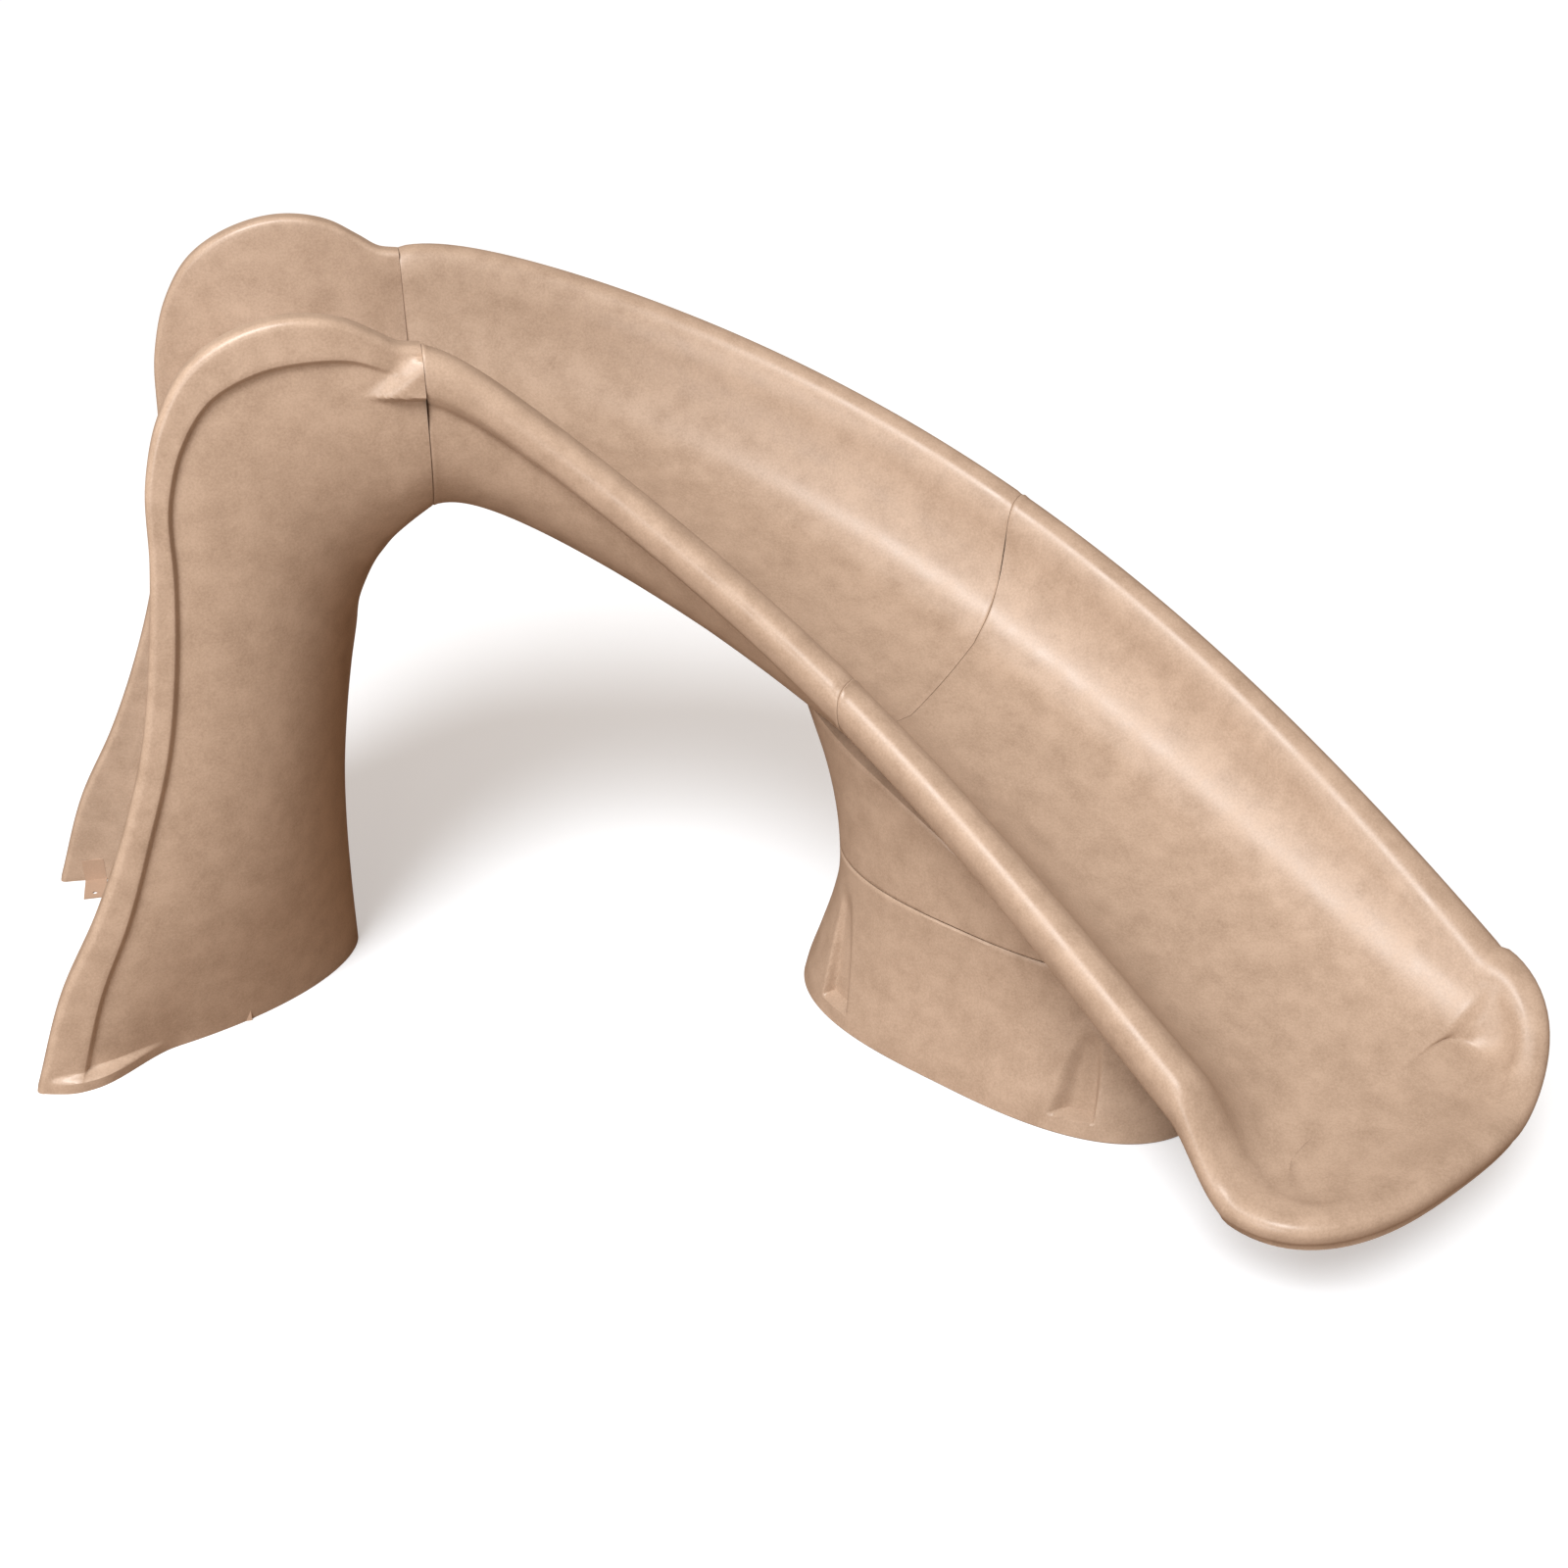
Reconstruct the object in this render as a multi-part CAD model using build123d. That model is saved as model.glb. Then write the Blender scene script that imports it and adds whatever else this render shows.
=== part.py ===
"""Curved pool slide: two moulded ladder sides, five treads, two flume sections and a front leg.

Millimetres, +Z up. The deck is z = 0. The origin is midway between the two rear anchor holes.
+X is the way a rider climbs, and the flume turns to the rider's right, towards -Y.
"""
from build123d import *
import math
import os

# ---- ladder -------------------------------------------------------------------------------
ANCHOR_FROM_TIP = 100.0      # rear anchor holes, in front of the foot tips
FOOT_X = -ANCHOR_FROM_TIP    # x of the two foot tips
SIDE_THICKNESS = 60.0        # a hollow ladder side, outside to inside
WALL = 6.0                   # moulded polyethylene wall
HALF_GAP = 0.4               # between the two ladder sides, each side of the middle
SEAM_1 = 1122.0              # ladder to flume joint, from the foot tips
RIM_HEIGHT = 1811.0          # flume rim at that joint
RIM_HALF_WIDTH = 363.0       # middle of the rim roll, from the middle of the flume there

# One line per rib of the ladder side: rear edge x, z and half width, then nose x, z and squareness.
LADDER_RIBS = [
    (0, 0, 522, 822, 0, 2.0),
    (213, 472, 501, 822, 380, 2.1),
    (387, 911, 484, 852, 730, 2.1),
    (460, 1283, 470, 896, 950, 2.15),
    (494, 1575, 456, 935, 1075, 2.3),
    (609, 1812, 430, 985, 1180, 2.6),
    (861, 1905, 418, 1035, 1248, 2.8),
    (1040, 1836, 397, 1078, 1297, 3.0),
    (1100, 1812, 390, 1100, 1330, 3.15),
    (SEAM_1, RIM_HEIGHT, 388, SEAM_1, 1335, 3.2),
]

# ---- treads and seat deck -----------------------------------------------------------------
TREAD_COUNT = 5
TREAD_DEPTH = 190.0
TREAD_THICKNESS = 45.0
TOP_SETBACK = 55.0           # top tread, from the ladder's rear edge
SETBACK_STEP = 24.0          # each lower tread is set this much further in
TREAD_SIDE_GAP = 5.0
DECK_FRONT_GAP = 1.0
DECK_LENGTH = 560.0
DECK_THICKNESS = 50.0
DECK_SIDE_GAP = 9.0

# ---- flume --------------------------------------------------------------------------------
FLUME_LENGTH = 2939.0        # along the middle of the rims
TURN = math.radians(62.3)    # whole change of heading
TURN_EASE = 1.937            # most of the turn is in the upper half
SLOPE = math.radians(27.3)
SLOPE_EASE = 0.032
BANK = math.radians(11.6)
BANK_REACH = 0.85
BANK_EASE = 0.771
EXIT_HALF_WIDTH = 452.0
WIDTH_EASE = 0.794
SEAM_2 = 0.50                # place of the mid flume joint, as a share of the length
SEAM_GAP = 2.0               # thickness of a seam seal
STEPS = 240                  # steps used to add up the flume's path
RIM_OUT = 50.0               # rim roll, outwards from its middle
RIM_BAND = 125.0             # height of the rim roll's outer band
LIP_REACH = 290.0            # the rounded exit lip, past the last full section
LIP_DROP = 0.10              # fall of the lip for each millimetre of its reach
LIP_SQUARENESS = 2.6

# ---- front leg ----------------------------------------------------------------------------
PLAN_LENGTH = FLUME_LENGTH * math.cos(SLOPE)
LEG_SQUARENESS = 2.4
LEG_PARTING = 450.0          # joint between the leg's foot and its tower
LEG_TOP = 1100.0
# One line per rib of the leg: height, rear end and front end along the flume's line on the deck, half width.
LEG_RIBS = [
    (0, 1000, 2210, 337), (90, 1026, 2180, 323), (280, 1085, 2125, 296), (450, 1102, 2115, 290),
    (700, 1055, 2150, 296), (880, 980, 2170, 302), (LEG_TOP, 800, 2200, 300),
]
BELLY_FROM = 0.2             # the flume's share where the cut for its belly starts
BELLY_GAP = 5.0
POCKET_ALONG = (1205.0, 2005.0)
POCKET_WIDTH = 90.0
POCKET_DEPTH = 75.0
POCKET_HEIGHT = 330.0
POCKET_FLOOR = 45.0
ANCHOR_FROM_WALL = 25.0      # anchor hole, from the back of its pocket

# ---- fixings ------------------------------------------------------------------------------
ANCHOR_HOLE_R = 6.5
REAR_ANCHOR_Y = 380.0
FRONT_ANCHOR_X = 400.0
FRONT_ANCHOR_Y = 200.0
BRACKET_T = 4.0
BRACKET_W = 60.0
BRACKET_LEG = 70.0
BRACKET_GAP = 2.0
BRACKET_HOLE_EDGE = 25.0
SCREW_R = 4.0
SEAM_BOLT_R = 4.0
SEAM_BOLT_HOLE_R = 4.5
SEAL_INSET = 8.0             # from the outside of the mouldings
SEAM_BOLT_PLACES = ((0.2, 36.0), (0.38, 46.0))       # share of the width, height over the belly
FIT_GAP = 0.2                # between a bolt's head or nut, its washer and the wall
HEX_ACROSS = 13.0
HEX_THICK = 5.5
WASHER_R = 8.0
WASHER_T = 2.0
SEAM_GRIP = WALL + SEAM_GAP / 2 + FIT_GAP            # from the seam's middle to a washer
SEAM_BOLT_LENGTH = 2 * (SEAM_GRIP + WASHER_T) + HEX_THICK + 5.0

# ---- water feed ---------------------------------------------------------------------------
FEED_Y = -90.0
FEED_Z = 62.0
VALVE_X = 60.0               # middle of the shut-off valve
VALVE_LENGTH = 64.0
VALVE_R = 19.0
TAIL_LENGTH = 26.0
FLOW_R = 6.5
NECK_LENGTH = 12.0
NECK_R = 10.5
COLLAR_R = 13.4              # turns inside the swivel nut
COLLAR_T = 4.4
BONNET_R = 11.0
BONNET_TOP = 28.0
BALL_R = 12.7
BALL_GAP = 0.3
STEM_R = 5.0
STEM_TOP = 37.0
LEVER_LENGTH = 73.0
LEVER_WIDTH = 13.0
LEVER_T = 4.0
LEVER_GAP = 0.6
HUB_T = 6.0
GRIP_LENGTH = 40.0
GRIP_T = 10.0
RUNNING_GAP = 0.05
NUT_R = 17.0
NUT_LENGTH = 26.0
NUT_CLEAR = 4.5
NUT_WEB = 3.6                # back wall of the swivel nut, behind the collar
COLLAR_ROOM = 16.0
SWIVEL_GAP = 0.2
INLET_R = 12.5
INLET_LENGTH = 10.0
PIPE_R = 9.0
HOSE_R = 13.0
HOSE_BORE_R = 9.05
HOSE_EASE = 0.45             # share of the shorter leg that each bend takes up
CLAMP_FROM_END = 8.0
CLAMP_WIDTH = 10.0
CLAMP_T = 1.3
NOZZLE_X = 640.0
NOZZLE_Y = -150.0
NOZZLE_HEIGHT = 34.0
NOZZLE_HOLE_R = 9.5
NOZZLE_TAIL = 24.0
NOZZLE_BORE_R = 6.0
NOZZLE_HEAD = 12.0
NOZZLE_HEAD_R = 13.0
FLANGE_R = 22.0
FLANGE_T = 4.0
NOZZLE_NUT_ACROSS = 30.0
NOZZLE_NUT_T = 8.0
DRAIN_PLACES = (0.1, 0.25, 0.95)
DRAIN_R = 9.0


def deck_x(from_tip):
    """A distance from the foot tips, as an x in the part's frame."""
    return from_tip + FOOT_X


# ---- the flume's path and its cross section -----------------------------------------------
def flume_angles(s):
    heading = TURN * (1 - (1 - s) ** TURN_EASE)
    slope = SLOPE * (1 - math.exp(-s / SLOPE_EASE))
    bank = BANK * math.sin(math.pi * BANK_REACH * s ** BANK_EASE)
    return heading, slope, bank


def flume_path():
    """Middle points between the two rims, from the ladder joint to the exit."""
    points = [Vector(deck_x(SEAM_1), 0, RIM_HEIGHT)]
    step = FLUME_LENGTH / STEPS
    for i in range(STEPS):
        heading, slope, _ = flume_angles((i + 0.5) / STEPS)
        run = math.cos(slope) * step
        move = Vector(run * math.cos(heading), -run * math.sin(heading), -math.sin(slope) * step)
        points.append(points[-1] + move)
    return points


PATH = flume_path()


def flume_frame(s):
    """Middle point, forward, sideways (to the rider's left) and up of the flume at s."""
    place = min(max(s, 0.0), 1.0) * STEPS
    i = min(int(place), STEPS - 1)
    middle = PATH[i] + (PATH[i + 1] - PATH[i]) * (place - i)
    heading, _, bank = flume_angles(min(max(s, 0.0), 1.0))
    forward = Vector(math.cos(heading), -math.sin(heading), 0)
    level = Vector(math.sin(heading), math.cos(heading), 0)
    side = level * math.cos(bank) + Vector(0, 0, math.sin(bank))
    up = Vector(0, 0, math.cos(bank)) - level * math.sin(bank)
    return middle, forward, side, up


def flume_width(s):
    return RIM_HALF_WIDTH + (EXIT_HALF_WIDTH - RIM_HALF_WIDTH) * s ** WIDTH_EASE


def trough_depth(s):
    return 330 - 30 * s - 155 * s ** 3


def belly_depth(s):
    return 476 - 90 * s - 151 * s ** 3


def half_outline(width, trough, belly):
    """Right half of a flume section: from the belly's middle, over the rim, to the trough's middle."""
    band = min(RIM_BAND, 0.62 * belly)
    k = min(1.0, width / RIM_HALF_WIDTH)
    return [
        (0, -belly), (width - 110 * k, -0.84 * belly - 0.16 * band), (width - 45 * k, -0.5 * (belly + band)),
        (width - 32 * k, -band - 10), (width + 30 * k, -band), (width + RIM_OUT * k, -0.45 * band),
        (width + 28 * k, -10), (width, 0), (width - 40 * k, -14), (width - 68 * k, -0.45 * trough),
        (width - 130 * k, -0.82 * trough), (width - 220 * k, -0.95 * trough), (0, -trough),
    ]


def inset(points, amount):
    """Move a closed outline of (a, b) points inwards by amount."""
    moved = []
    count = len(points)
    for i, (a, b) in enumerate(points):
        before = points[i - 1]
        after = points[(i + 1) % count]
        along = Vector(after[0] - before[0], after[1] - before[1], 0).normalized()
        moved.append((a - along.Y * amount, b + along.X * amount))
    return moved


def full_outline(width, trough, belly, amount=0.0):
    half = half_outline(width, trough, belly)
    mirrored = [(-a, b) for a, b in reversed(half[1:-1])]
    return inset(half + mirrored, amount)


def face_of(corners):
    return Face(Wire.make_polygon(corners, close=True))


def flume_face(s, amount=0.0, shift=0.0):
    middle, forward, side, up = flume_frame(s)
    outline = full_outline(flume_width(s), trough_depth(s), belly_depth(s), amount)
    return face_of([middle + forward * shift + side * a + up * b for a, b in outline])


def lip_face(reach, amount=0.0):
    """A section of the exit lip, at a distance past the last full section."""
    middle, forward, side, _ = flume_frame(1.0)
    share = reach / LIP_REACH
    level = Vector(side.X, side.Y, 0).normalized()
    width = EXIT_HALF_WIDTH * (1 - share ** LIP_SQUARENESS) ** (1 / LIP_SQUARENESS)
    rim = 24 + (trough_depth(1.0) - 24) * (1 - share) ** 2
    floor = middle - Vector(0, 0, trough_depth(1.0) + LIP_DROP * reach)
    top = floor + forward * reach + Vector(0, 0, rim)
    outline = full_outline(width, rim, rim + 84 - 30 * share, amount)
    return face_of([top + level * a + Vector(0, 0, b) for a, b in outline])


def hollow(outer_faces, inner_faces):
    return loft(outer_faces, ruled=True) - loft(inner_faces, ruled=True)


def shares(low, high, count):
    return [low + (high - low) * i / (count - 1) for i in range(count)]


def seam_bolt_spots(s):
    """Places of the seam bolts in the section plane, low in the hollow under the trough."""
    width, belly = flume_width(s), belly_depth(s)
    return [(sign * share * width, rise - belly) for sign in (-1, 1) for share, rise in SEAM_BOLT_PLACES]


def seam_rod(s, radius, start, end):
    """Round bars along the flume at each seam bolt, from start to end past the seam's middle."""
    middle, forward, side, up = flume_frame(s)
    bars = []
    for a, b in seam_bolt_spots(s):
        base = middle + side * a + up * b + forward * start
        bars.append(Plane(base, z_dir=forward) * extrude(Circle(radius), end - start))
    return bars


def upper_flume():
    stations = shares(0, SEAM_2, 7)
    outer = [flume_face(s) for s in stations[1:-1]]
    outer = [flume_face(0, shift=SEAM_GAP)] + outer + [flume_face(SEAM_2, shift=-SEAM_GAP / 2)]
    inner = [flume_face(s, WALL) for s in stations[1:-1]]
    first = flume_face(0, WALL, SEAM_GAP + WALL)
    inner = [first] + inner + [flume_face(SEAM_2, WALL, -WALL - SEAM_GAP / 2)]
    body = hollow(outer, inner)
    for bar in seam_rod(0, SEAM_BOLT_HOLE_R, -20, 30) + seam_rod(SEAM_2, SEAM_BOLT_HOLE_R, -30, 20):
        body -= bar
    return body


def lower_flume():
    stations = shares(SEAM_2, 1, 7)
    lips = [0.34 * LIP_REACH, 0.62 * LIP_REACH, 0.84 * LIP_REACH, 0.97 * LIP_REACH]
    outer = [flume_face(SEAM_2, shift=SEAM_GAP / 2)] + [flume_face(s) for s in stations[1:]]
    outer += [lip_face(reach) for reach in lips]
    inner = [flume_face(SEAM_2, WALL, WALL + SEAM_GAP / 2)] + [flume_face(s, WALL) for s in stations[1:]]
    inner += [lip_face(reach, WALL) for reach in lips[:2]]
    body = hollow(outer, inner)
    for bar in seam_rod(SEAM_2, SEAM_BOLT_HOLE_R, -20, 30):
        body -= bar
    return body


def seam_seal(s, start):
    """A flat foam sheet between two end walls."""
    _, forward, _, _ = flume_frame(s)
    seal = extrude(flume_face(s, SEAL_INSET, start), SEAM_GAP, dir=forward)
    for bar in seam_rod(s, SEAM_BOLT_HOLE_R, -20, 20):
        seal -= bar
    return seal


def seam_bolts(s, offset):
    """Hex bolts across a seam, each with a head before it."""
    middle, forward, side, up = flume_frame(s)
    bolts = []
    for a, b in seam_bolt_spots(s):
        base = middle + side * a + up * b + forward * (offset - SEAM_GRIP - WASHER_T - FIT_GAP)
        head = extrude(RegularPolygon(HEX_ACROSS / 2, 6, major_radius=False), -HEX_THICK)
        bolts.append(Plane(base, z_dir=forward) * (head + extrude(Circle(SEAM_BOLT_R), SEAM_BOLT_LENGTH)))
    return bolts


def seam_rings(s, start, thick, outline):
    """A ring or nut round each seam bolt, from start for thick."""
    middle, forward, side, up = flume_frame(s)
    hole = Circle(SEAM_BOLT_R + RUNNING_GAP)
    rings = []
    for a, b in seam_bolt_spots(s):
        base = middle + side * a + up * b + forward * start
        rings.append(Plane(base, z_dir=forward) * extrude(outline - hole, thick))
    return rings


# ---- ladder sides -------------------------------------------------------------------------
def rib_curve(rib, amount, count=10):
    """Plan curve of a rib, amount inside its outer skin, as (distance from rear edge, y) pairs."""
    rear_x, rear_z, width, nose_x, nose_z, square = rib
    length = math.hypot(nose_x - rear_x, nose_z - rear_z)
    outer = []
    for i in range(count + 1):
        angle = math.pi / 2 * i / count
        reach = length * math.sin(angle) ** (2 / square)
        outer.append((reach, -width * max(math.cos(angle), 0.0) ** (2 / square)))
    moved = [(0.0, -width + amount)]
    for i in range(1, count):
        along = Vector(outer[i + 1][0] - outer[i - 1][0], outer[i + 1][1] - outer[i - 1][1], 0).normalized()
        moved.append((outer[i][0] - along.Y * amount, outer[i][1] + along.X * amount))
    moved.append((length - amount, 0.0))
    return moved


def rib_face(rib, skin, depth, rear, middle, shift_x=0.0, shift_z=0.0):
    """Closed section of a right-hand ladder side between two depths under the outer skin."""
    rear_x, rear_z, _, nose_x, nose_z, _ = rib
    along = Vector(nose_x - rear_x, 0, nose_z - rear_z).normalized()
    base = Vector(deck_x(rear_x) + shift_x, 0, rear_z + shift_z)
    outer = rib_curve(rib, skin)
    inner = rib_curve(rib, depth)
    corners = [(max(u, rear), min(y, -middle)) for u, y in outer + inner[::-1]]
    return face_of([base + along * u + Vector(0, y, 0) for u, y in corners])


def ladder_side():
    """Right-hand side: a curved hollow moulding from the foot, round the nose, to the flume joint."""
    depth = SIDE_THICKNESS
    outer = [rib_face(rib, 0.0, depth, 0.0, HALF_GAP) for rib in LADDER_RIBS]
    inner = []
    for i, rib in enumerate(LADDER_RIBS):
        lift = WALL if i == 0 else 0.0
        back = -WALL if i == len(LADDER_RIBS) - 1 else 0.0
        inner.append(rib_face(rib, WALL, depth - WALL, WALL, HALF_GAP + WALL, back, lift))
    side = hollow(outer, inner)
    for bar in seam_rod(0, SEAM_BOLT_HOLE_R, -20, 20):
        side -= bar
    return side


def rib_at(x, z):
    """The rib through a point of the side view, found between the two ribs on each side of it."""
    def behind(rib):
        rear_x, rear_z, _, nose_x, nose_z, _ = rib
        return (nose_x - rear_x) * (z - rear_z) - (nose_z - rear_z) * (x - FOOT_X - rear_x) < 0
    for low, high in zip(LADDER_RIBS, LADDER_RIBS[1:]):
        if behind(high):
            near, far = 0.0, 1.0
            for _ in range(30):
                half = (near + far) / 2
                rib = [a + (b - a) * half for a, b in zip(low, high)]
                if behind(rib):
                    far = half
                else:
                    near = half
            return rib
    return list(LADDER_RIBS[-1])


def inside_half_width(x, z):
    """Half the clear width between the ladder sides at a point of the side view."""
    rib = rib_at(x, z)
    reach = math.hypot(x - FOOT_X - rib[0], z - rib[1])
    curve = rib_curve(rib, SIDE_THICKNESS)
    for (u0, y0), (u1, y1) in zip(curve, curve[1:]):
        if u0 <= reach <= u1:
            return -(y0 + (y1 - y0) * (reach - u0) / (u1 - u0))
    return -curve[0][1]


def rear_edge_x(z):
    for low, high in zip(LADDER_RIBS, LADDER_RIBS[1:]):
        if low[1] <= z <= high[1]:
            return deck_x(low[0] + (high[0] - low[0]) * (z - low[1]) / (high[1] - low[1]))
    return deck_x(LADDER_RIBS[4][0])


def hollow_plank(rear, front, top, thick, gap):
    """A hollow board that fits between the ladder sides, with eased long edges."""
    corners = []
    for sign in (-1, 1):
        edge = []
        for x in shares(rear, front, 5):
            clear = min(inside_half_width(x, top), inside_half_width(x, top - thick)) - gap
            edge.append(Vector(x, sign * clear, 0))
        corners += edge[::-sign]
    plan = face_of(corners)
    board = Pos(0, 0, top - thick) * extrude(plan, thick)
    cavity = Pos(0, 0, top - thick + WALL) * extrude(offset(plan, -WALL, kind=Kind.INTERSECTION), thick - 2 * WALL)
    return board - cavity


def tread(number):
    top = tread_top(number)
    rear = tread_rear(number)
    return hollow_plank(rear, rear + TREAD_DEPTH, top, TREAD_THICKNESS, TREAD_SIDE_GAP)


def tread_rear(number):
    setback = TOP_SETBACK + SETBACK_STEP * (TREAD_COUNT - number)
    return rear_edge_x(tread_top(number)) + setback


def tread_top(number):
    return (RIM_HEIGHT - trough_depth(0)) * number / (TREAD_COUNT + 1)


def seat_deck():
    top = RIM_HEIGHT - trough_depth(0)
    front = deck_x(SEAM_1) - DECK_FRONT_GAP
    deck = hollow_plank(front - DECK_LENGTH, front, top, DECK_THICKNESS, DECK_SIDE_GAP)
    hole = Pos(NOZZLE_X, NOZZLE_Y, top) * Cylinder(NOZZLE_HOLE_R, 4 * DECK_THICKNESS)
    collar = Pos(NOZZLE_X, NOZZLE_Y, top - DECK_THICKNESS / 2) * Cylinder(NOZZLE_HOLE_R + WALL, DECK_THICKNESS)
    return deck + collar - hole


# ---- brackets and screws ------------------------------------------------------------------
def angle_bracket(x, wall_y, hole_y, z, hole_r, hang=False):
    """Angle plate: a foot on z with a hole at hole_y, and an upright beside the ladder side at wall_y."""
    foot_length = abs(wall_y) - abs(hole_y) + BRACKET_HOLE_EDGE
    foot = Box(BRACKET_W, foot_length, BRACKET_T, align=(Align.CENTER, Align.MAX, Align.MIN))
    upright = Box(BRACKET_W, BRACKET_T, BRACKET_LEG, align=(Align.CENTER, Align.MAX, Align.MIN))
    plate = foot + upright
    plate -= Pos(0, abs(hole_y) - abs(wall_y), 0) * Cylinder(hole_r, 4 * BRACKET_T)
    if hang:
        plate = mirror(plate, Plane.XY)
    if wall_y < 0:
        plate = mirror(plate, Plane.XZ)
    return Pos(x, wall_y, z) * plate


def beside_wall(x, low, high):
    """Half width at which an upright clears the ladder side over a bracket's width and height."""
    ends = (x - BRACKET_W / 2, x + BRACKET_W / 2)
    return min(inside_half_width(end, z) for end in ends for z in (low, high)) - BRACKET_GAP


def screw(x, y, z, direction):
    """Pan-head screw: its head outside the point, its shank along direction."""
    head = extrude(Circle(8), -5)
    return Plane(Vector(x, y, z), z_dir=direction) * (head + extrude(Circle(SCREW_R), 11))


def anchor_bracket(x, hole_y, sign):
    wall_y = beside_wall(x, 0, BRACKET_LEG)
    return angle_bracket(x, sign * wall_y, sign * hole_y, 0, ANCHOR_HOLE_R)


def tread_fixings():
    """x, wall y, screw y and underside of each tread's two brackets."""
    places = []
    for number in range(1, TREAD_COUNT + 1):
        under = tread_top(number) - TREAD_THICKNESS - FIT_GAP
        x = tread_rear(number) + TREAD_DEPTH / 2
        wall_y = beside_wall(x, under - BRACKET_LEG, under)
        places += [(x, sign * wall_y, sign * (wall_y - 40), under) for sign in (-1, 1)]
    return places


def tread_brackets():
    """Two small angles under each tread, beside the ladder sides."""
    return [angle_bracket(x, wall_y, screw_y, under, SCREW_R + 0.5, hang=True)
            for x, wall_y, screw_y, under in tread_fixings()]


def tread_screws():
    return [screw(x, screw_y, under - BRACKET_T - FIT_GAP, Vector(0, 0, 1))
            for x, _, screw_y, under in tread_fixings()]


# ---- front leg ----------------------------------------------------------------------------
def leg_point(along, across, height=0.0):
    """A place from its distance along the flume's line on the deck and across it."""
    middle, _, side, _ = flume_frame(along / PLAN_LENGTH)
    level = Vector(side.X, side.Y, 0).normalized()
    return Vector(middle.X, middle.Y, height) + level * across


def leg_face(height, rear, front, half_width, amount=0.0, count=32):
    corners = []
    power = 2 / LEG_SQUARENESS
    for i in range(count):
        angle = 2 * math.pi * i / count
        c, s = math.cos(angle), math.sin(angle)
        u = math.copysign(abs(c) ** power, c) * ((front - rear) / 2 - amount)
        v = math.copysign(abs(s) ** power, s) * (half_width - amount)
        corners.append(leg_point((rear + front) / 2 + u, v, height))
    return face_of(corners)


def belly_block(gap):
    """The space of the flume over the leg, with a gap under its belly."""
    faces = []
    for s in shares(BELLY_FROM, 1.0, 15):
        middle, _, side, up = flume_frame(s)
        width, belly = flume_width(s), belly_depth(s)
        below = belly - RIM_BAND
        clear = width + RIM_OUT + 10
        low = [(0, -belly), (width - 110, -belly + 0.16 * below), (width - 45, -belly + 0.5 * below),
               (clear, -belly + 0.6 * below), (clear, 300)]
        outline = [(-a, b - gap) for a, b in reversed(low[1:])] + [(a, b - gap) for a, b in low]
        faces.append(face_of([middle + side * a + up * b for a, b in outline]))
    return loft(faces, ruled=True)


def leg_shell():
    outer = loft([leg_face(*rib) for rib in LEG_RIBS], ruled=True) - belly_block(BELLY_GAP)
    ribs = [(WALL, *LEG_RIBS[0][1:])] + LEG_RIBS[1:]
    inner = loft([leg_face(*rib, WALL) for rib in ribs], ruled=True) - belly_block(BELLY_GAP + WALL)
    return outer, inner


def slab(low, high):
    """Everything round the leg between two heights."""
    middle = leg_point((LEG_RIBS[0][1] + LEG_RIBS[0][2]) / 2, 0)
    return Pos(middle.X, middle.Y, (low + high) / 2) * Box(2000, 2000, high - low)


def pocket_places():
    """Foot of each anchor pocket: a point on the leg's side and the way out of the leg."""
    _, rear, front, half_width = LEG_RIBS[0]
    places = []
    for sign in (-1, 1):
        for along in POCKET_ALONG:
            share = abs(along - (rear + front) / 2) / ((front - rear) / 2)
            across = sign * half_width * (1 - share ** LEG_SQUARENESS) ** (1 / LEG_SQUARENESS)
            place = leg_point(along, across)
            places.append((place, (place - leg_point(along, 0)).normalized()))
    return places


def anchor_hole_centre(place, out):
    return place - out * (POCKET_DEPTH - ANCHOR_FROM_WALL)


def leg_foot(outer, inner):
    """Bottom of the leg, with four moulded pockets that have a solid floor for an anchor."""
    foot = (outer & slab(0, LEG_PARTING - 1)) - (inner & slab(0, LEG_PARTING - 1 - WALL))
    upright = (Align.CENTER, Align.CENTER, Align.MIN)
    for place, out in pocket_places():
        here = Plane(place, x_dir=Vector(-out.Y, out.X, 0), z_dir=Vector(0, 0, 1))
        block = here * Box(POCKET_WIDTH + 2 * WALL, 2 * (POCKET_DEPTH + WALL), POCKET_HEIGHT + WALL, align=upright)
        room = Box(POCKET_WIDTH, 2 * POCKET_DEPTH, POCKET_HEIGHT - POCKET_FLOOR, align=upright)
        foot = foot + (outer & block) - here * Pos(0, 0, POCKET_FLOOR) * room
        centre = anchor_hole_centre(place, out)
        foot -= Pos(centre.X, centre.Y, 0) * Cylinder(ANCHOR_HOLE_R, 4 * POCKET_FLOOR)
    return foot


def leg_tower(outer, inner):
    tower = (outer & slab(LEG_PARTING, LEG_TOP + 50)) - (inner & slab(LEG_PARTING + WALL, LEG_TOP + 50))
    return max(tower.solids(), key=lambda solid: solid.volume)


# ---- water feed ---------------------------------------------------------------------------
def along_x(x, radius, length):
    return Plane(Vector(x, FEED_Y, FEED_Z), z_dir=Vector(1, 0, 0)) * extrude(Circle(radius), length)


def upright_cylinder(radius, height, foot=0.0):
    return Pos(0, 0, foot) * Cylinder(radius, height, align=(Align.CENTER, Align.CENTER, Align.MIN))


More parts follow.
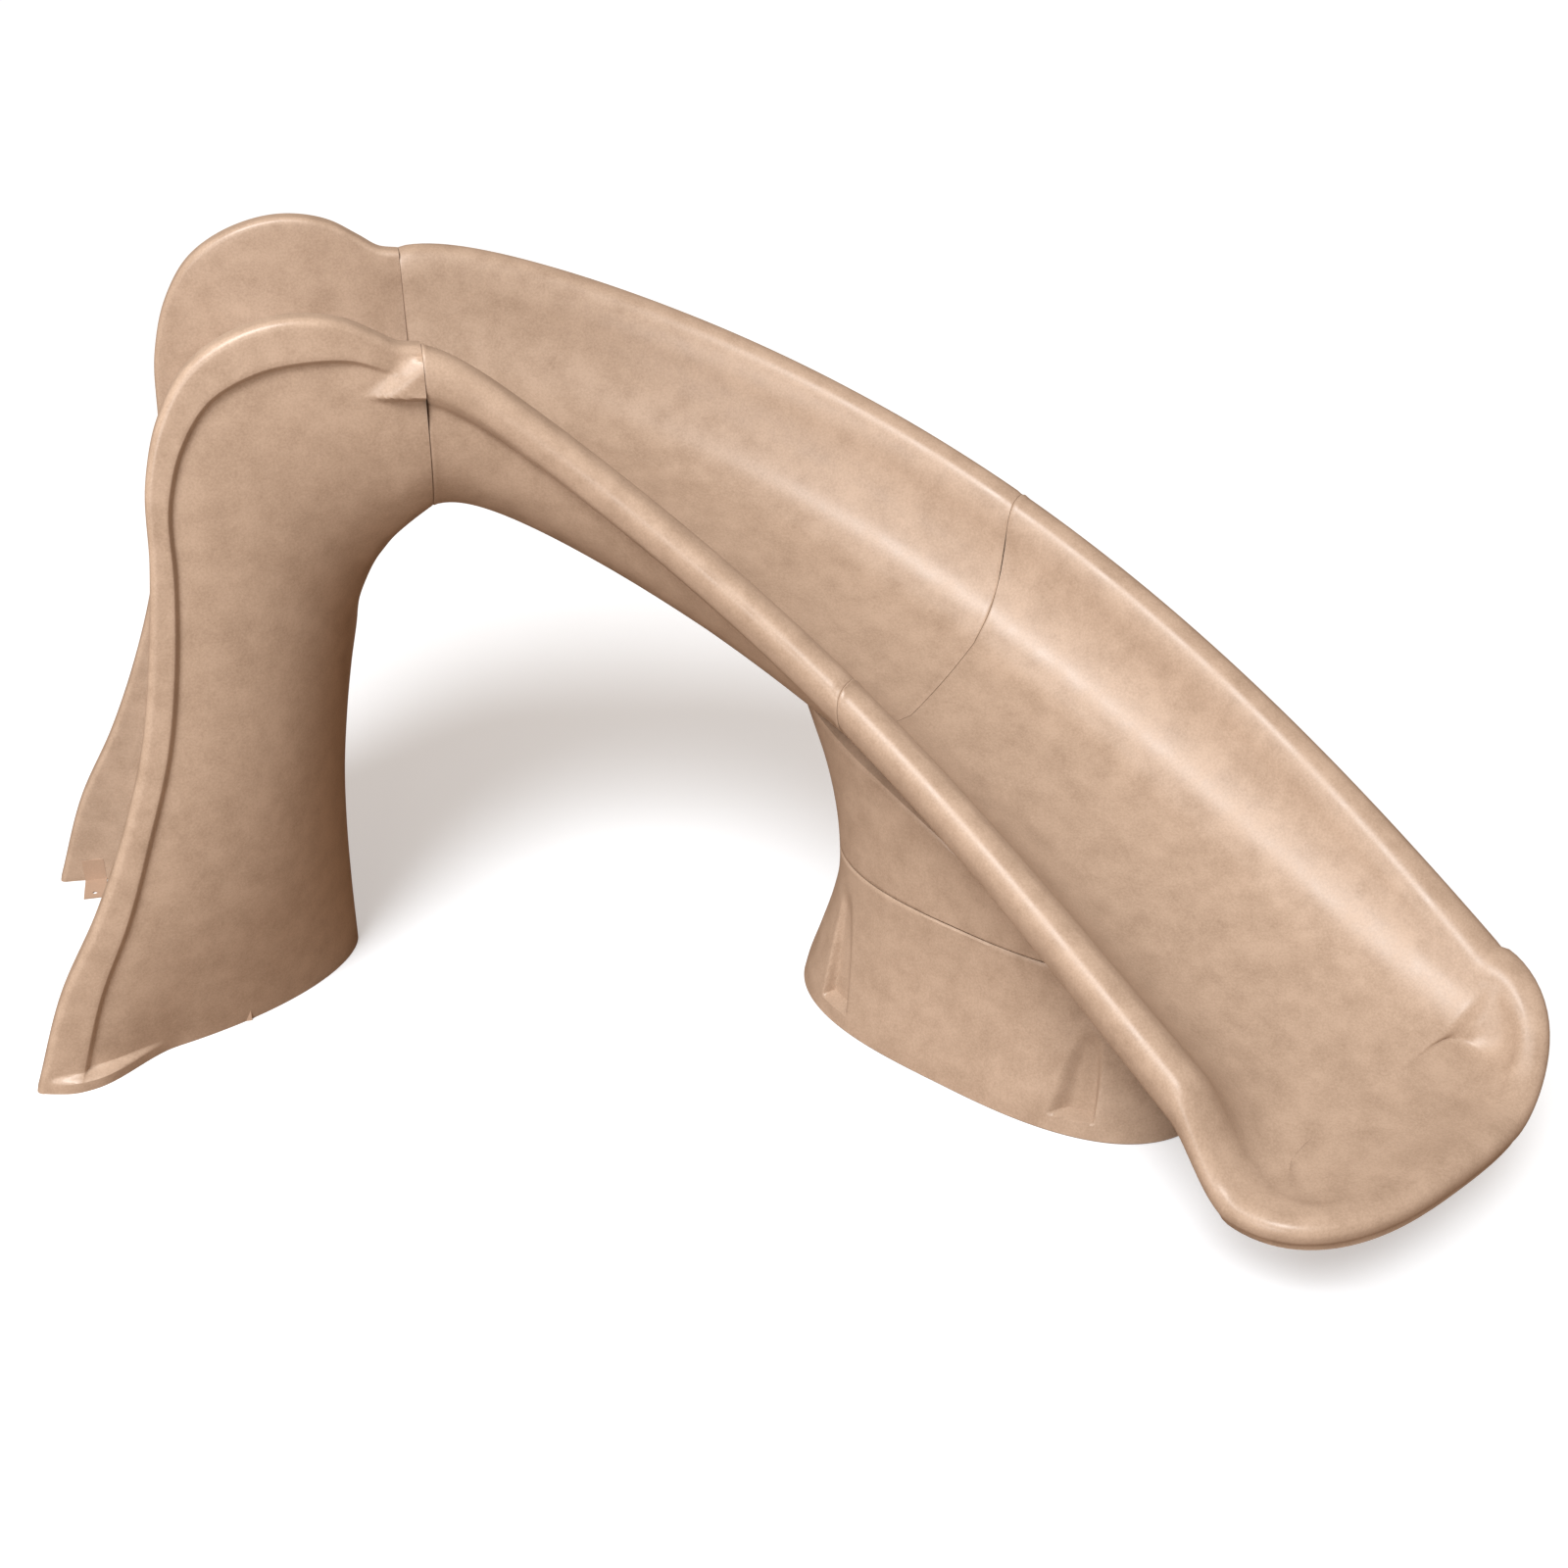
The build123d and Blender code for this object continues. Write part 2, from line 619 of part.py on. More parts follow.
def valve_body():
    start = VALVE_X - VALVE_LENGTH / 2
    here = Pos(VALVE_X, FEED_Y, FEED_Z)
    body = along_x(start, VALVE_R, VALVE_LENGTH) + along_x(start + VALVE_LENGTH, PIPE_R, TAIL_LENGTH)
    body += along_x(start - NECK_LENGTH, NECK_R, NECK_LENGTH)
    body += along_x(start - NECK_LENGTH - COLLAR_T / 2, COLLAR_R, COLLAR_T)
    body += here * upright_cylinder(BONNET_R, BONNET_TOP)
    body -= along_x(start - 2 * NECK_LENGTH, FLOW_R, VALVE_LENGTH + TAIL_LENGTH + 4 * NECK_LENGTH)
    body -= here * Sphere(BALL_R + BALL_GAP)
    body -= here * upright_cylinder(STEM_R + RUNNING_GAP, BONNET_TOP + 1)
    return body


def valve_ball():
    ball = Sphere(BALL_R) - Rot(0, 90, 0) * Cylinder(FLOW_R, 4 * BALL_R)
    stem = upright_cylinder(STEM_R, STEM_TOP - BALL_R + 1, BALL_R - 1)
    return Pos(VALVE_X, FEED_Y, FEED_Z) * (ball + stem)


def valve_lever():
    flat = (Align.MIN, Align.CENTER, Align.MIN)
    arm = Box(LEVER_LENGTH, LEVER_WIDTH, LEVER_T, align=flat)
    grip = Pos(LEVER_LENGTH - GRIP_LENGTH + 5, 0, LEVER_T / 2 - GRIP_T / 2) * Box(
        GRIP_LENGTH, LEVER_WIDTH + 4, GRIP_T, align=flat)
    lever = upright_cylinder(BONNET_R, HUB_T) + arm + fillet(grip.edges(), 3)
    lever -= Cylinder(STEM_R, 10 * HUB_T)
    return Pos(VALVE_X, FEED_Y, FEED_Z + BONNET_TOP + LEVER_GAP) * lever


def swivel_nut():
    """Female garden-hose coupling that spins on the valve's inlet collar."""
    start = VALVE_X - VALVE_LENGTH / 2
    front = start - NUT_CLEAR
    nut = along_x(front - NUT_LENGTH, NUT_R, NUT_LENGTH)
    nut -= along_x(front - NUT_LENGTH - 1, INLET_R, INLET_LENGTH + 1)
    nut -= along_x(front - COLLAR_ROOM, COLLAR_R + SWIVEL_GAP, COLLAR_ROOM - NUT_WEB)
    nut -= along_x(front - NUT_WEB - 1, NECK_R + RUNNING_GAP, NUT_WEB + 2)
    return nut


def hose_route():
    """Riser hose: along the deck to the nose, up behind the treads, then to the nozzle."""
    start = VALVE_X + VALVE_LENGTH / 2 + 2
    top = RIM_HEIGHT - trough_depth(0) - DECK_THICKNESS - NOZZLE_HEIGHT
    return [
        Vector(start, FEED_Y, FEED_Z), Vector(500, FEED_Y, FEED_Z), Vector(560, FEED_Y - 10, 420),
        Vector(612, FEED_Y - 30, 900), Vector(NOZZLE_X, NOZZLE_Y, top - 180), Vector(NOZZLE_X, NOZZLE_Y, top),
    ]


def riser_hose():
    points = hose_route()
    radii = []
    for a, b, c in zip(points, points[1:], points[2:]):
        turn = math.radians((b - a).get_angle(c - b))
        radii.append(HOSE_EASE * min((b - a).length, (c - b).length) / math.tan(turn / 2))
    path = FilletPolyline(*points, radius=radii)
    start = Plane(points[0], z_dir=(points[1] - points[0]).normalized())
    tube = sweep(start * (Circle(HOSE_R) - Circle(HOSE_BORE_R)), path=path)
    section = math.pi * (HOSE_R ** 2 - HOSE_BORE_R ** 2)
    print("riser hose radii", [round(r) for r in radii], "length", round(path.length))
    print("riser hose volume over section x length", round(tube.volume / (section * path.length), 4))
    return tube


def hose_clamps():
    """Worm-drive bands at the two ends of the riser hose."""
    points = hose_route()
    low = Plane(points[0] + Vector(CLAMP_FROM_END, 0, 0), z_dir=Vector(1, 0, 0))
    high = Plane(points[-1] - Vector(0, 0, CLAMP_FROM_END + CLAMP_WIDTH), z_dir=Vector(0, 0, 1))
    band = extrude(Circle(HOSE_R + CLAMP_T) - Circle(HOSE_R), CLAMP_WIDTH)
    housing = Pos(0, HOSE_R + CLAMP_T + 3.5, 1) * Box(12, 7, 8, align=(Align.CENTER, Align.CENTER, Align.MIN))
    return [plane * (band + housing) for plane in (low, high)]


def spray_nozzle():
    """Fan nozzle that stands on the seat deck, with a barbed tail under it."""
    top = RIM_HEIGHT - trough_depth(0)
    below = DECK_THICKNESS + NOZZLE_HEIGHT + NOZZLE_TAIL
    tail = upright_cylinder(PIPE_R, below + FLANGE_T, -below)
    flange = upright_cylinder(FLANGE_R, FLANGE_T)
    head = upright_cylinder(NOZZLE_HEAD_R, NOZZLE_HEAD, FLANGE_T)
    slot = Pos(NOZZLE_HEAD_R, 0, FLANGE_T + 0.6 * NOZZLE_HEAD) * Box(1.4 * NOZZLE_HEAD_R, 20, 3)
    bore = upright_cylinder(NOZZLE_BORE_R, below + FLANGE_T + 0.5 * NOZZLE_HEAD + 1, -below - 1)
    return Pos(NOZZLE_X, NOZZLE_Y, top) * (tail + flange + head - bore - slot)


def nozzle_nut():
    top = RIM_HEIGHT - trough_depth(0)
    outline = RegularPolygon(NOZZLE_NUT_ACROSS / 2, 6, major_radius=False)
    nut = extrude(outline - Circle(PIPE_R + RUNNING_GAP), NOZZLE_NUT_T)
    return Pos(NOZZLE_X, NOZZLE_Y, top - DECK_THICKNESS - NOZZLE_NUT_T - FIT_GAP) * nut


# ---- drain plugs --------------------------------------------------------------------------
def drain_plugs():
    """Push-in plugs in the low points of the two flume mouldings."""
    plugs = []
    for s in DRAIN_PLACES:
        middle, _, _, up = flume_frame(s)
        base = middle - up * belly_depth(s)
        plug = extrude(Circle(DRAIN_R + 6), -3) + extrude(Circle(DRAIN_R), 14)
        plugs.append(Plane(base - up * 0.2, z_dir=up) * plug)
    return plugs


def main():
    os.makedirs("parts", exist_ok=True)
    nodes = {}
    right = ladder_side()
    nodes["ladder_side_right"] = right
    nodes["ladder_side_left"] = mirror(right, Plane.XZ)
    for number in range(1, TREAD_COUNT + 1):
        nodes[f"tread_{number}"] = tread(number)
    nodes["seat_deck"] = seat_deck()
    nodes["upper_flume"] = upper_flume()
    nodes["lower_flume"] = lower_flume()
    outer, inner = leg_shell()
    nodes["leg_foot"] = leg_foot(outer, inner)
    nodes["leg_tower"] = leg_tower(outer, inner)
    nodes["seam_seal_upper"] = seam_seal(0, 0)
    nodes["seam_seal_lower"] = seam_seal(SEAM_2, -SEAM_GAP / 2)
    for name, s, offset in (("upper", 0, SEAM_GAP / 2), ("lower", SEAM_2, 0.0)):
        hexagon = RegularPolygon(HEX_ACROSS / 2, 6, major_radius=False)
        nodes[f"seam_bolts_{name}"] = seam_bolts(s, offset)
        rings = seam_rings(s, offset - SEAM_GRIP - WASHER_T, WASHER_T, Circle(WASHER_R))
        rings += seam_rings(s, offset + SEAM_GRIP, WASHER_T, Circle(WASHER_R))
        nodes[f"seam_washers_{name}"] = rings
        nodes[f"seam_nuts_{name}"] = seam_rings(s, offset + SEAM_GRIP + WASHER_T + FIT_GAP, HEX_THICK, hexagon)
    nodes["tread_brackets"] = tread_brackets()
    nodes["tread_screws"] = tread_screws()
    for end, x, y in (("rear", 0.0, REAR_ANCHOR_Y), ("front", FRONT_ANCHOR_X, FRONT_ANCHOR_Y)):
        for side, sign in (("right", -1), ("left", 1)):
            nodes[f"anchor_bracket_{end}_{side}"] = anchor_bracket(x, y, sign)
    nodes["drain_plugs"] = drain_plugs()
    nodes["valve_body"] = valve_body()
    nodes["valve_ball"] = valve_ball()
    nodes["valve_lever"] = valve_lever()
    nodes["hose_swivel_nut"] = swivel_nut()
    nodes["riser_hose"] = riser_hose()
    nodes["hose_clamps"] = hose_clamps()
    nodes["spray_nozzle"] = spray_nozzle()
    nodes["nozzle_nut"] = nozzle_nut()
    for name, shape in nodes.items():
        solid = Compound(children=shape) if isinstance(shape, list) else shape
        export_step(solid, f"parts/{name}.step")
        print(name, round(solid.volume / 1000), "cm3")


if __name__ == "__main__":
    main()
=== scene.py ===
# %% [markdown]
# # A curved pool slide, finished over its engineering model
# The engineering model fixes where everything is. This lesson builds the visible
# mouldings over it, cell by cell, then gives every piece a finish and lights it.
# All lengths are metres. +X is the way a rider climbs, +Z is up, and the flume
# turns to the rider's right, towards -Y.

# %% load the frame
import math

import bmesh
import bpy
import numpy as np
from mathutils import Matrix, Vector


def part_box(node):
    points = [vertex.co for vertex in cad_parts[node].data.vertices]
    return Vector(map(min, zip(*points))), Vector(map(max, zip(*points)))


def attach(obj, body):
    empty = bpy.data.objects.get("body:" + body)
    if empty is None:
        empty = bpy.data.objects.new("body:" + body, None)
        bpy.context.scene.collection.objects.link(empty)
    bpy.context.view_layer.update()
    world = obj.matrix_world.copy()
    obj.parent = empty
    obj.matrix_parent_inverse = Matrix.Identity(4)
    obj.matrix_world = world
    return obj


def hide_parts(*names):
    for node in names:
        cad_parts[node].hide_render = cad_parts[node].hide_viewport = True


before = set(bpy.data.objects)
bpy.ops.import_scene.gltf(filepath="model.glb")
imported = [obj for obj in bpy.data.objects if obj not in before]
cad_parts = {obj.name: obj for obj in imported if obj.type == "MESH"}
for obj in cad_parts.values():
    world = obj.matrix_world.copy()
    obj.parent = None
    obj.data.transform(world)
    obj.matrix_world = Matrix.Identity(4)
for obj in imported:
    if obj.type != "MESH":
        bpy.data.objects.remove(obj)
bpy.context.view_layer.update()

print("frame loaded:", len(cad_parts), "nodes")

# %% [markdown]
# ## Small tools for smooth shapes
# Moulded plastic is all gentle curves, so most shapes here are rows of points that
# are swept from station to station. These helpers ease between values, draw a smooth
# line through a few measured points, and turn rows of points into a closed mesh.

# %% easing and smooth lines
def ease(low, high, value):
    """0 below low, 1 above high, and a soft step between them."""
    t = np.clip((np.asarray(value, float) - low) / (high - low), 0.0, 1.0)
    return t * t * (3 - 2 * t)


def through(keys, rows, at):
    """Smooth values at the places `at`, through rows of values given at keys."""
    keys = np.asarray(keys, float)
    rows = np.asarray(rows, float)
    slopes = np.gradient(rows, keys, axis=0)
    at = np.atleast_1d(np.asarray(at, float))
    i = np.clip(np.searchsorted(keys, at, side="right") - 1, 0, len(keys) - 2)
    gap = keys[i + 1] - keys[i]
    t = (at - keys[i]) / gap
    if rows.ndim == 2:
        t, gap = t[:, None], gap[:, None]
    low, high = rows[i], rows[i + 1]
    return (low * (1 + 2 * t) * (1 - t) ** 2 + slopes[i] * gap * t * (1 - t) ** 2
            + high * t * t * (3 - 2 * t) + slopes[i + 1] * gap * t * t * (t - 1))


def evenly(points, count):
    """Points spread evenly along a line of points."""
    points = np.asarray(points, float)
    steps = np.linalg.norm(np.diff(points, axis=0), axis=1)
    run = np.concatenate([[0.0], np.cumsum(steps)])
    at = np.linspace(0, run[-1], count)
    return np.stack([np.interp(at, run, points[:, k]) for k in range(points.shape[1])], axis=1)


print("easing tools ready")

# %% meshes from rows of points
def object_from(name, verts, faces, sharp=35.0):
    """A closed, smooth-shaded object whose normals point outwards."""
    mesh = bpy.data.meshes.new(name)
    mesh.from_pydata([tuple(v) for v in verts], [], faces)
    work = bmesh.new()
    work.from_mesh(mesh)
    bmesh.ops.remove_doubles(work, verts=work.verts, dist=1e-6)
    bmesh.ops.dissolve_degenerate(work, dist=1e-6, edges=work.edges)
    bmesh.ops.recalc_face_normals(work, faces=work.faces)
    work.to_mesh(mesh)
    work.free()
    mesh.polygons.foreach_set("use_smooth", [True] * len(mesh.polygons))
    mesh.set_sharp_from_angle(angle=math.radians(sharp))
    piece = bpy.data.objects.new(name, mesh)
    bpy.context.scene.collection.objects.link(piece)
    return piece


def swept(name, upper, lower, sharp=35.0, closed_end=True):
    """A body between two sheets of points, upper and lower, station by station.

    The last station is left without a cap where the two sheets meet on one line there.
    """
    stations, count = upper.shape[:2]
    loops = np.concatenate([upper, lower[:, ::-1]], axis=1)
    size = loops.shape[1]
    verts = loops.reshape(-1, 3)
    faces = []
    for i in range(stations - 1):
        for j in range(size):
            k = (j + 1) % size
            faces.append((i * size + j, i * size + k, (i + 1) * size + k, (i + 1) * size + j))
    for base in (0, (stations - 1) * size)[: 2 if closed_end else 1]:
        for j in range(count - 1):
            faces.append((base + j, base + j + 1, base + size - 2 - j, base + size - 1 - j))
    return object_from(name, verts, faces, sharp)


print("mesh tools ready")

# %% [markdown]
# ## The two ladder mouldings
# Each side of the ladder is one curved shell that starts at a long foot on the deck,
# rises, wraps round to the front edge and rolls over into an ear beside the seat.
# It is drawn as a fan of ribs. A rib starts on the rear edge and ends on the front
# edge, where the two halves meet. The rear edge carries a raised border that turns
# along the foot, which stiffens the open side of the moulding.

# %% the ladder's fan of ribs
TIP = -0.100                 # x of the foot tips
THICK = 0.060                # depth of the double wall
# rear x, rear z, front x, front z, half width, squareness, border width, border height
FAN = np.array([
    (0.000, 0.000, 0.822, 0.000, 0.522, 1.75, 0.105, 0.067),
    (0.100, 0.265, 0.824, 0.200, 0.511, 1.90, 0.092, 0.034),
    (0.213, 0.472, 0.830, 0.380, 0.501, 2.05, 0.075, 0.020),
    (0.310, 0.689, 0.843, 0.560, 0.493, 2.15, 0.059, 0.018),
    (0.387, 0.911, 0.866, 0.730, 0.484, 2.20, 0.058, 0.018),
    (0.438, 1.148, 0.892, 0.875, 0.475, 2.20, 0.061, 0.018),
    (0.473, 1.372, 0.916, 0.985, 0.466, 2.25, 0.062, 0.018),
    (0.494, 1.575, 0.935, 1.075, 0.456, 2.35, 0.064, 0.018),
    (0.535, 1.700, 0.960, 1.135, 0.446, 2.50, 0.070, 0.018),
    (0.609, 1.812, 0.985, 1.180, 0.430, 2.60, 0.082, 0.018),
    (0.720, 1.880, 1.010, 1.215, 0.422, 2.70, 0.094, 0.018),
    (0.861, 1.905, 1.035, 1.248, 0.418, 2.80, 0.098, 0.018),
    (0.960, 1.885, 1.060, 1.275, 0.410, 2.90, 0.085, 0.012),
    (1.030, 1.845, 1.080, 1.297, 0.400, 3.00, 0.070, 0.004),
    (1.075, 1.818, 1.100, 1.316, 0.392, 3.10, 0.060, 0.001),
    (1.1217, 1.811, 1.1217, 1.335, 0.388, 3.20, 0.060, 0.000),
])
run = np.concatenate([[0.0], np.cumsum(np.linalg.norm(np.diff(FAN[:, :2], axis=0), axis=1))])
low_places = np.linspace(0, 0.10, 26)
places = np.concatenate([low_places, np.linspace(0.10, run[-1] - 0.004, 290)[1:], [run[-1]]])
ribs = through(run, FAN, places)
print("ladder fan:", len(ribs), "ribs over", round(float(run[-1]), 3), "m of rear edge")

# %% the shape of one rib
CRISP = 0.016                # part of the border that rises in one clear step
STEP = 0.016                 # how far in that step takes
EDGE_R = 0.020               # radius of the rear edge, outside
INNER_R = 0.016              # and inside
LEAST_Y = 0.0006             # the two halves stay this far from their middle plane
ARC = np.linspace(0, math.pi / 2, 7)
FACET = np.array([(0.955, 1.702), (1.122, 1.822), (1.128, 1.688)])


def facet_rise(x, z):
    """The flume's rim band grows out of the ladder side as a triangular facet."""
    a, b, c = FACET
    top = ((b[0] - a[0]) * (z - a[1]) - (b[1] - a[1]) * (x - a[0])) / math.dist(a, b)
    low = ((c[0] - a[0]) * (z - a[1]) - (c[1] - a[1]) * (x - a[0])) / math.dist(a, c)
    grow = 0.25 + 0.75 * ease(a[0], b[0], x)
    return 0.027 * grow * ease(0.0, 0.050, -top) * ease(-0.002, 0.014, low)


def outer_line(length, place, way, width, square, border, raised):
    """(inward, outward) points of a rib's outside, from the rear edge to the front edge."""
    panel = width - raised
    crisp = min(CRISP, raised)
    edge_u = EDGE_R - EDGE_R * np.cos(ARC)
    edge_y = width - EDGE_R + EDGE_R * np.sin(ARC)
    u1 = np.linspace(EDGE_R, border, 7)[1:]
    u2 = np.linspace(border, border + STEP, 8)[1:]
    start = math.asin(min(1.0, ((border + STEP) / length)) ** (square / 2))
    phi = np.linspace(start, math.pi / 2, 400)
    skin = np.stack([length * np.sin(phi) ** (2 / square), panel * np.cos(phi) ** (2 / square)], axis=1)
    u3 = np.minimum(evenly(skin, 105)[1:, 0], length)
    u = np.concatenate([u1, u2, u3])
    shape = np.clip(1 - (u / length) ** square, 0, 1) ** (1 / square)
    x, z = place[0] + way[0] * u, place[1] + way[1] * u
    rear_band = 1 - ease(border, border + STEP, u)
    foot_band = (1 - ease(0.028, 0.046, z)) * (1 - ease(0.15, 0.33, x))
    soft = (raised - crisp) * (1 - ease(border, border + 0.25, u))
    y = panel * shape + soft + crisp * np.maximum(rear_band, foot_band) + facet_rise(x, z)
    y = y + 0.022 * foot_band * ease(0.0, border, u)
    y[-1] = 0.0
    y = np.maximum(y, LEAST_Y)
    return np.stack([np.concatenate([edge_u, u]), np.concatenate([edge_y, y])], axis=1)


def inner_line(length, width, square, count):
    """The same for the rib's inside, with as many points."""
    inside = width - THICK - 0.002
    depth = length - THICK
    arc = np.stack([INNER_R - INNER_R * np.cos(ARC), inside + INNER_R - INNER_R * np.sin(ARC)], axis=1)
    turn = np.linspace(math.asin((INNER_R / depth) ** (square / 2)), math.pi / 2, count - len(ARC) + 1)[1:]
    u = depth * np.sin(turn) ** (2 / square)
    y = np.maximum(inside * np.cos(turn) ** (2 / square), LEAST_Y)
    return np.concatenate([arc, np.stack([u, y], axis=1)])


def rib_rows(rib):
    """Outer and inner rows of points of one rib of the right-hand side."""
    rear_x, rear_z, front_x, front_z, width, square, border, raised = rib
    length = math.hypot(front_x - rear_x, front_z - rear_z)
    dx, dz = (front_x - rear_x) / length, (front_z - rear_z) / length
    outer = outer_line(length, (rear_x, rear_z), (dx, dz), width, square, border, raised)
    inner = inner_line(length, width, square, len(outer))
    rows = []
    for line in (outer, inner):
        rows.append(np.stack([TIP + rear_x + dx * line[:, 0], -line[:, 1], rear_z + dz * line[:, 0]], axis=1))
    return rows


rib_pairs = [rib_rows(rib) for rib in ribs]
outer_sheet = np.array([pair[0] for pair in rib_pairs])
inner_sheet = np.array([pair[1] for pair in rib_pairs])
right_side = swept("ladder_moulding_right", outer_sheet, inner_sheet)
flip = np.array([1, -1, 1])
left_side = swept("ladder_moulding_left", outer_sheet * flip, inner_sheet * flip)
print("ladder mouldings:", len(right_side.data.polygons), "faces each")

# %% [markdown]
# ## The path of the flume
# The flume is a trough that follows a falling, turning line. One rule gives its
# heading, slope and bank at each share s of its length, and the line comes from
# adding up small steps. The same rule made the engineering model, so the two agree.

# %% path and directions
LENGTH = 2.939
TURN = math.radians(62.3)
SLOPE = math.radians(27.3)
BANK = math.radians(11.6)
SEAM_2 = 0.50                # share of the length where the two chutes meet
STEPS = 240
EDGE_Z = 0.340               # height of the lip's waterfall edge
FALLS = ((-0.17, 0.05), (-0.02, 0.38))   # where the near and the far rim start and end their fall
START = np.array([1.022, 0.0, 1.811])


def angles(s):
    heading = TURN * (1 - (1 - s) ** 1.937)
    slope = SLOPE * (1 - np.exp(-s / 0.032))
    bank = BANK * np.sin(math.pi * 0.85 * s ** 0.771)
    return heading, slope, bank


mids = (np.arange(STEPS) + 0.5) / STEPS
heads, slopes, _ = angles(mids)
moves = np.stack([np.cos(slopes) * np.cos(heads), -np.cos(slopes) * np.sin(heads), -np.sin(slopes)], axis=1)
LINE = START + np.concatenate([np.zeros((1, 3)), np.cumsum(moves * LENGTH / STEPS, axis=0)])
PLAN_RUN = np.concatenate([[0.0], np.cumsum(np.cos(slopes) * LENGTH / STEPS)])


def place_at(s):
    return np.array([np.interp(s * STEPS, np.arange(STEPS + 1), LINE[:, k]) for k in range(3)])


def directions(s):
    """Forward, level sideways (to the rider's left), banked sideways and banked up."""
    heading, _, bank = angles(s)
    forward = np.array([math.cos(heading), -math.sin(heading), 0.0])
    level = np.array([math.sin(heading), math.cos(heading), 0.0])
    side = level * math.cos(bank) + np.array([0, 0, math.sin(bank)])
    up = np.array([0, 0, math.cos(bank)]) - level * math.sin(bank)
    return forward, level, side, up


def half_width(s):
    return 0.363 + 0.089 * s ** 0.794


def trough_depth(s):
    return 0.330 - 0.030 * s - 0.155 * s ** 3


def belly_depth(s):
    rise = 0.022 * (1 - math.exp(-s / 0.03)) * (1 - float(ease(0.10, 0.45, s)))
    return 0.476 - 0.090 * s - 0.151 * s ** 3 - rise


def rim_fall(run, k):
    """Share of the way down to the lip's edge; run is past the last full section, k is 0 near and 1 far."""
    start, end = FALLS[k]
    return float(ease(start, end, run))


print("flume ends at", np.round(LINE[-1], 3))

# %% [markdown]
# ## The section of the flume
# Across the flume the skin runs from the belly, up the outer wall, under and round a
# deep rolled rim, down the inner wall and over the floor to the other rim. The rim
# roll hides a finger-deep undercut, which reads as a dark line along the outside.

# %% the rim's own curve
BAND = 0.125                 # depth of the rim's roll
BAND_LOSS = 0.053            # how much shallower the roll is at the lip
RIM_OUT = [(0, 0), (0.020, -0.003), (0.039, -0.018), (0.049, -0.045), (0.050, -0.075), (0.046, -0.100),
           (0.036, -0.118)]
INNER_ACROSS = [0, 0.09, 0.17, 0.24, 0.31, 0.44, 0.67, 1]
INNER_DOWN = [0, -0.018, -0.085, -0.21, -0.39, -0.61, -0.83, -0.97]
rim_curve = through(range(len(RIM_OUT)), RIM_OUT, np.linspace(0, len(RIM_OUT) - 1, 22))
inner_curve = through(range(8), np.stack([INNER_ACROSS, INNER_DOWN], axis=1), np.linspace(0, 7, 26))
FLOOR_POINTS = 22


def rim_and_wall(band, offset, reach, height):
    """(out, up) points from the top of the outer wall, round the rim, to the floor's edge."""
    roll = rim_curve * np.array([1.0, band / BAND])
    end = roll[-1]
    under = [(offset, -band - 0.016), (offset + 0.25 * (end[0] - offset), -band - 0.006),
             (offset + 0.62 * (end[0] - offset), -band - 0.002)]
    inner = inner_curve[1:] * np.array([-reach, height])
    return np.concatenate([under, roll[::-1], inner])


def section_rows(crests, outs, up, bands, offset, reach, heights, base, sag):
    """Upper and lower rows of one flume station.

    crests, outs, bands and heights hold the near and far rim's place, way out, depth of roll and
    depth of wall, up is the way up, and base is the place of the belly's middle.
    """
    sides = []
    for k in (0, 1):
        curve = rim_and_wall(bands[k], offset, reach, heights[k])
        sides.append(crests[k] + curve[:, :1] * outs[k] + curve[:, 1:] * up)
    t = np.linspace(0, 1, FLOOR_POINTS + 2)[1:-1, None]
    floor = sides[0][-1] * (1 - t) + sides[1][-1] * t
    floor = floor - np.array([0, 0, 1.0]) * sag * 4 * t * (1 - t)
    upper = np.concatenate([sides[0], floor, sides[1][::-1]])
    lower = []
    for k in (0, 1):
        wall = sides[k][0]
        top = crests[k] + offset * outs[k]
        middle = (crests[0] + crests[1]) / 2 + (offset * (outs[0] + outs[1])) / 2
        depth = np.linalg.norm(base - middle)
        first = math.asin(min(0.97, (bands[k] + 0.016) / depth) ** 1.6)
        phi = np.linspace(first, math.pi / 2, 40)
        line = middle + (top - middle) * np.cos(phi[:, None]) ** 0.625
        line = line + (base - middle) * np.sin(phi[:, None]) ** 0.625
        lower.append(line + (wall - line[0]) * (1 - (phi[:, None] - first) / (math.pi / 2 - first)) ** 4)
    row = np.concatenate([lower[0], lower[1][::-1][1:]])
    return upper, evenly(row, len(upper))


print("rim curve:", len(rim_curve), "points, inner wall:", len(inner_curve), "points")

# %% [markdown]
# ## The two lengths of the flume
# Each length is the section swept along the path. Every end but the lip's is eased
# over a few millimetres, as a moulded edge is, so a fine groove shows where they meet.

# %% stations along the flume
CHUTE_SHARP = 50             # edges sharper than this many degrees stay crisp


def wall_offset(s):
    return float(np.interp(s, [0, 0.3, 0.5, 0.86, 1.0], [0.022, -0.020, -0.035, -0.035, 0.030]))


def flume_station(s, tuck=0.0, slide=0.0):
    """Rows at s, with the skin tucked in by `tuck` and moved along by `slide`."""
    forward, _, side, up = directions(s)
    middle = place_at(s) + forward * slide
    width = half_width(s) - tuck * 0.3
    middle = middle - up * tuck
    outs = (-side, side)
    crests = [middle + out * width for out in outs]
    reach = 0.24 + 0.03 * s
    falls = [rim_fall((s - 1) * PLAN_RUN[-1], k) for k in (0, 1)]
    heights, bands = [], []
    for crest, fall in zip(crests, falls):
        drop = max(crest[2] - EDGE_Z, 0.0) * fall
        crest[2] -= drop
        heights.append(max(trough_depth(s) - 2 * tuck - drop / 0.97, 0.004))
        bands.append(BAND - BAND_LOSS * fall - 2 * tuck)
    base = middle - up * (belly_depth(s) - 2 * tuck)
    return section_rows(crests, outs, up, bands, wall_offset(s) - tuck, reach, heights, base, 0.008)


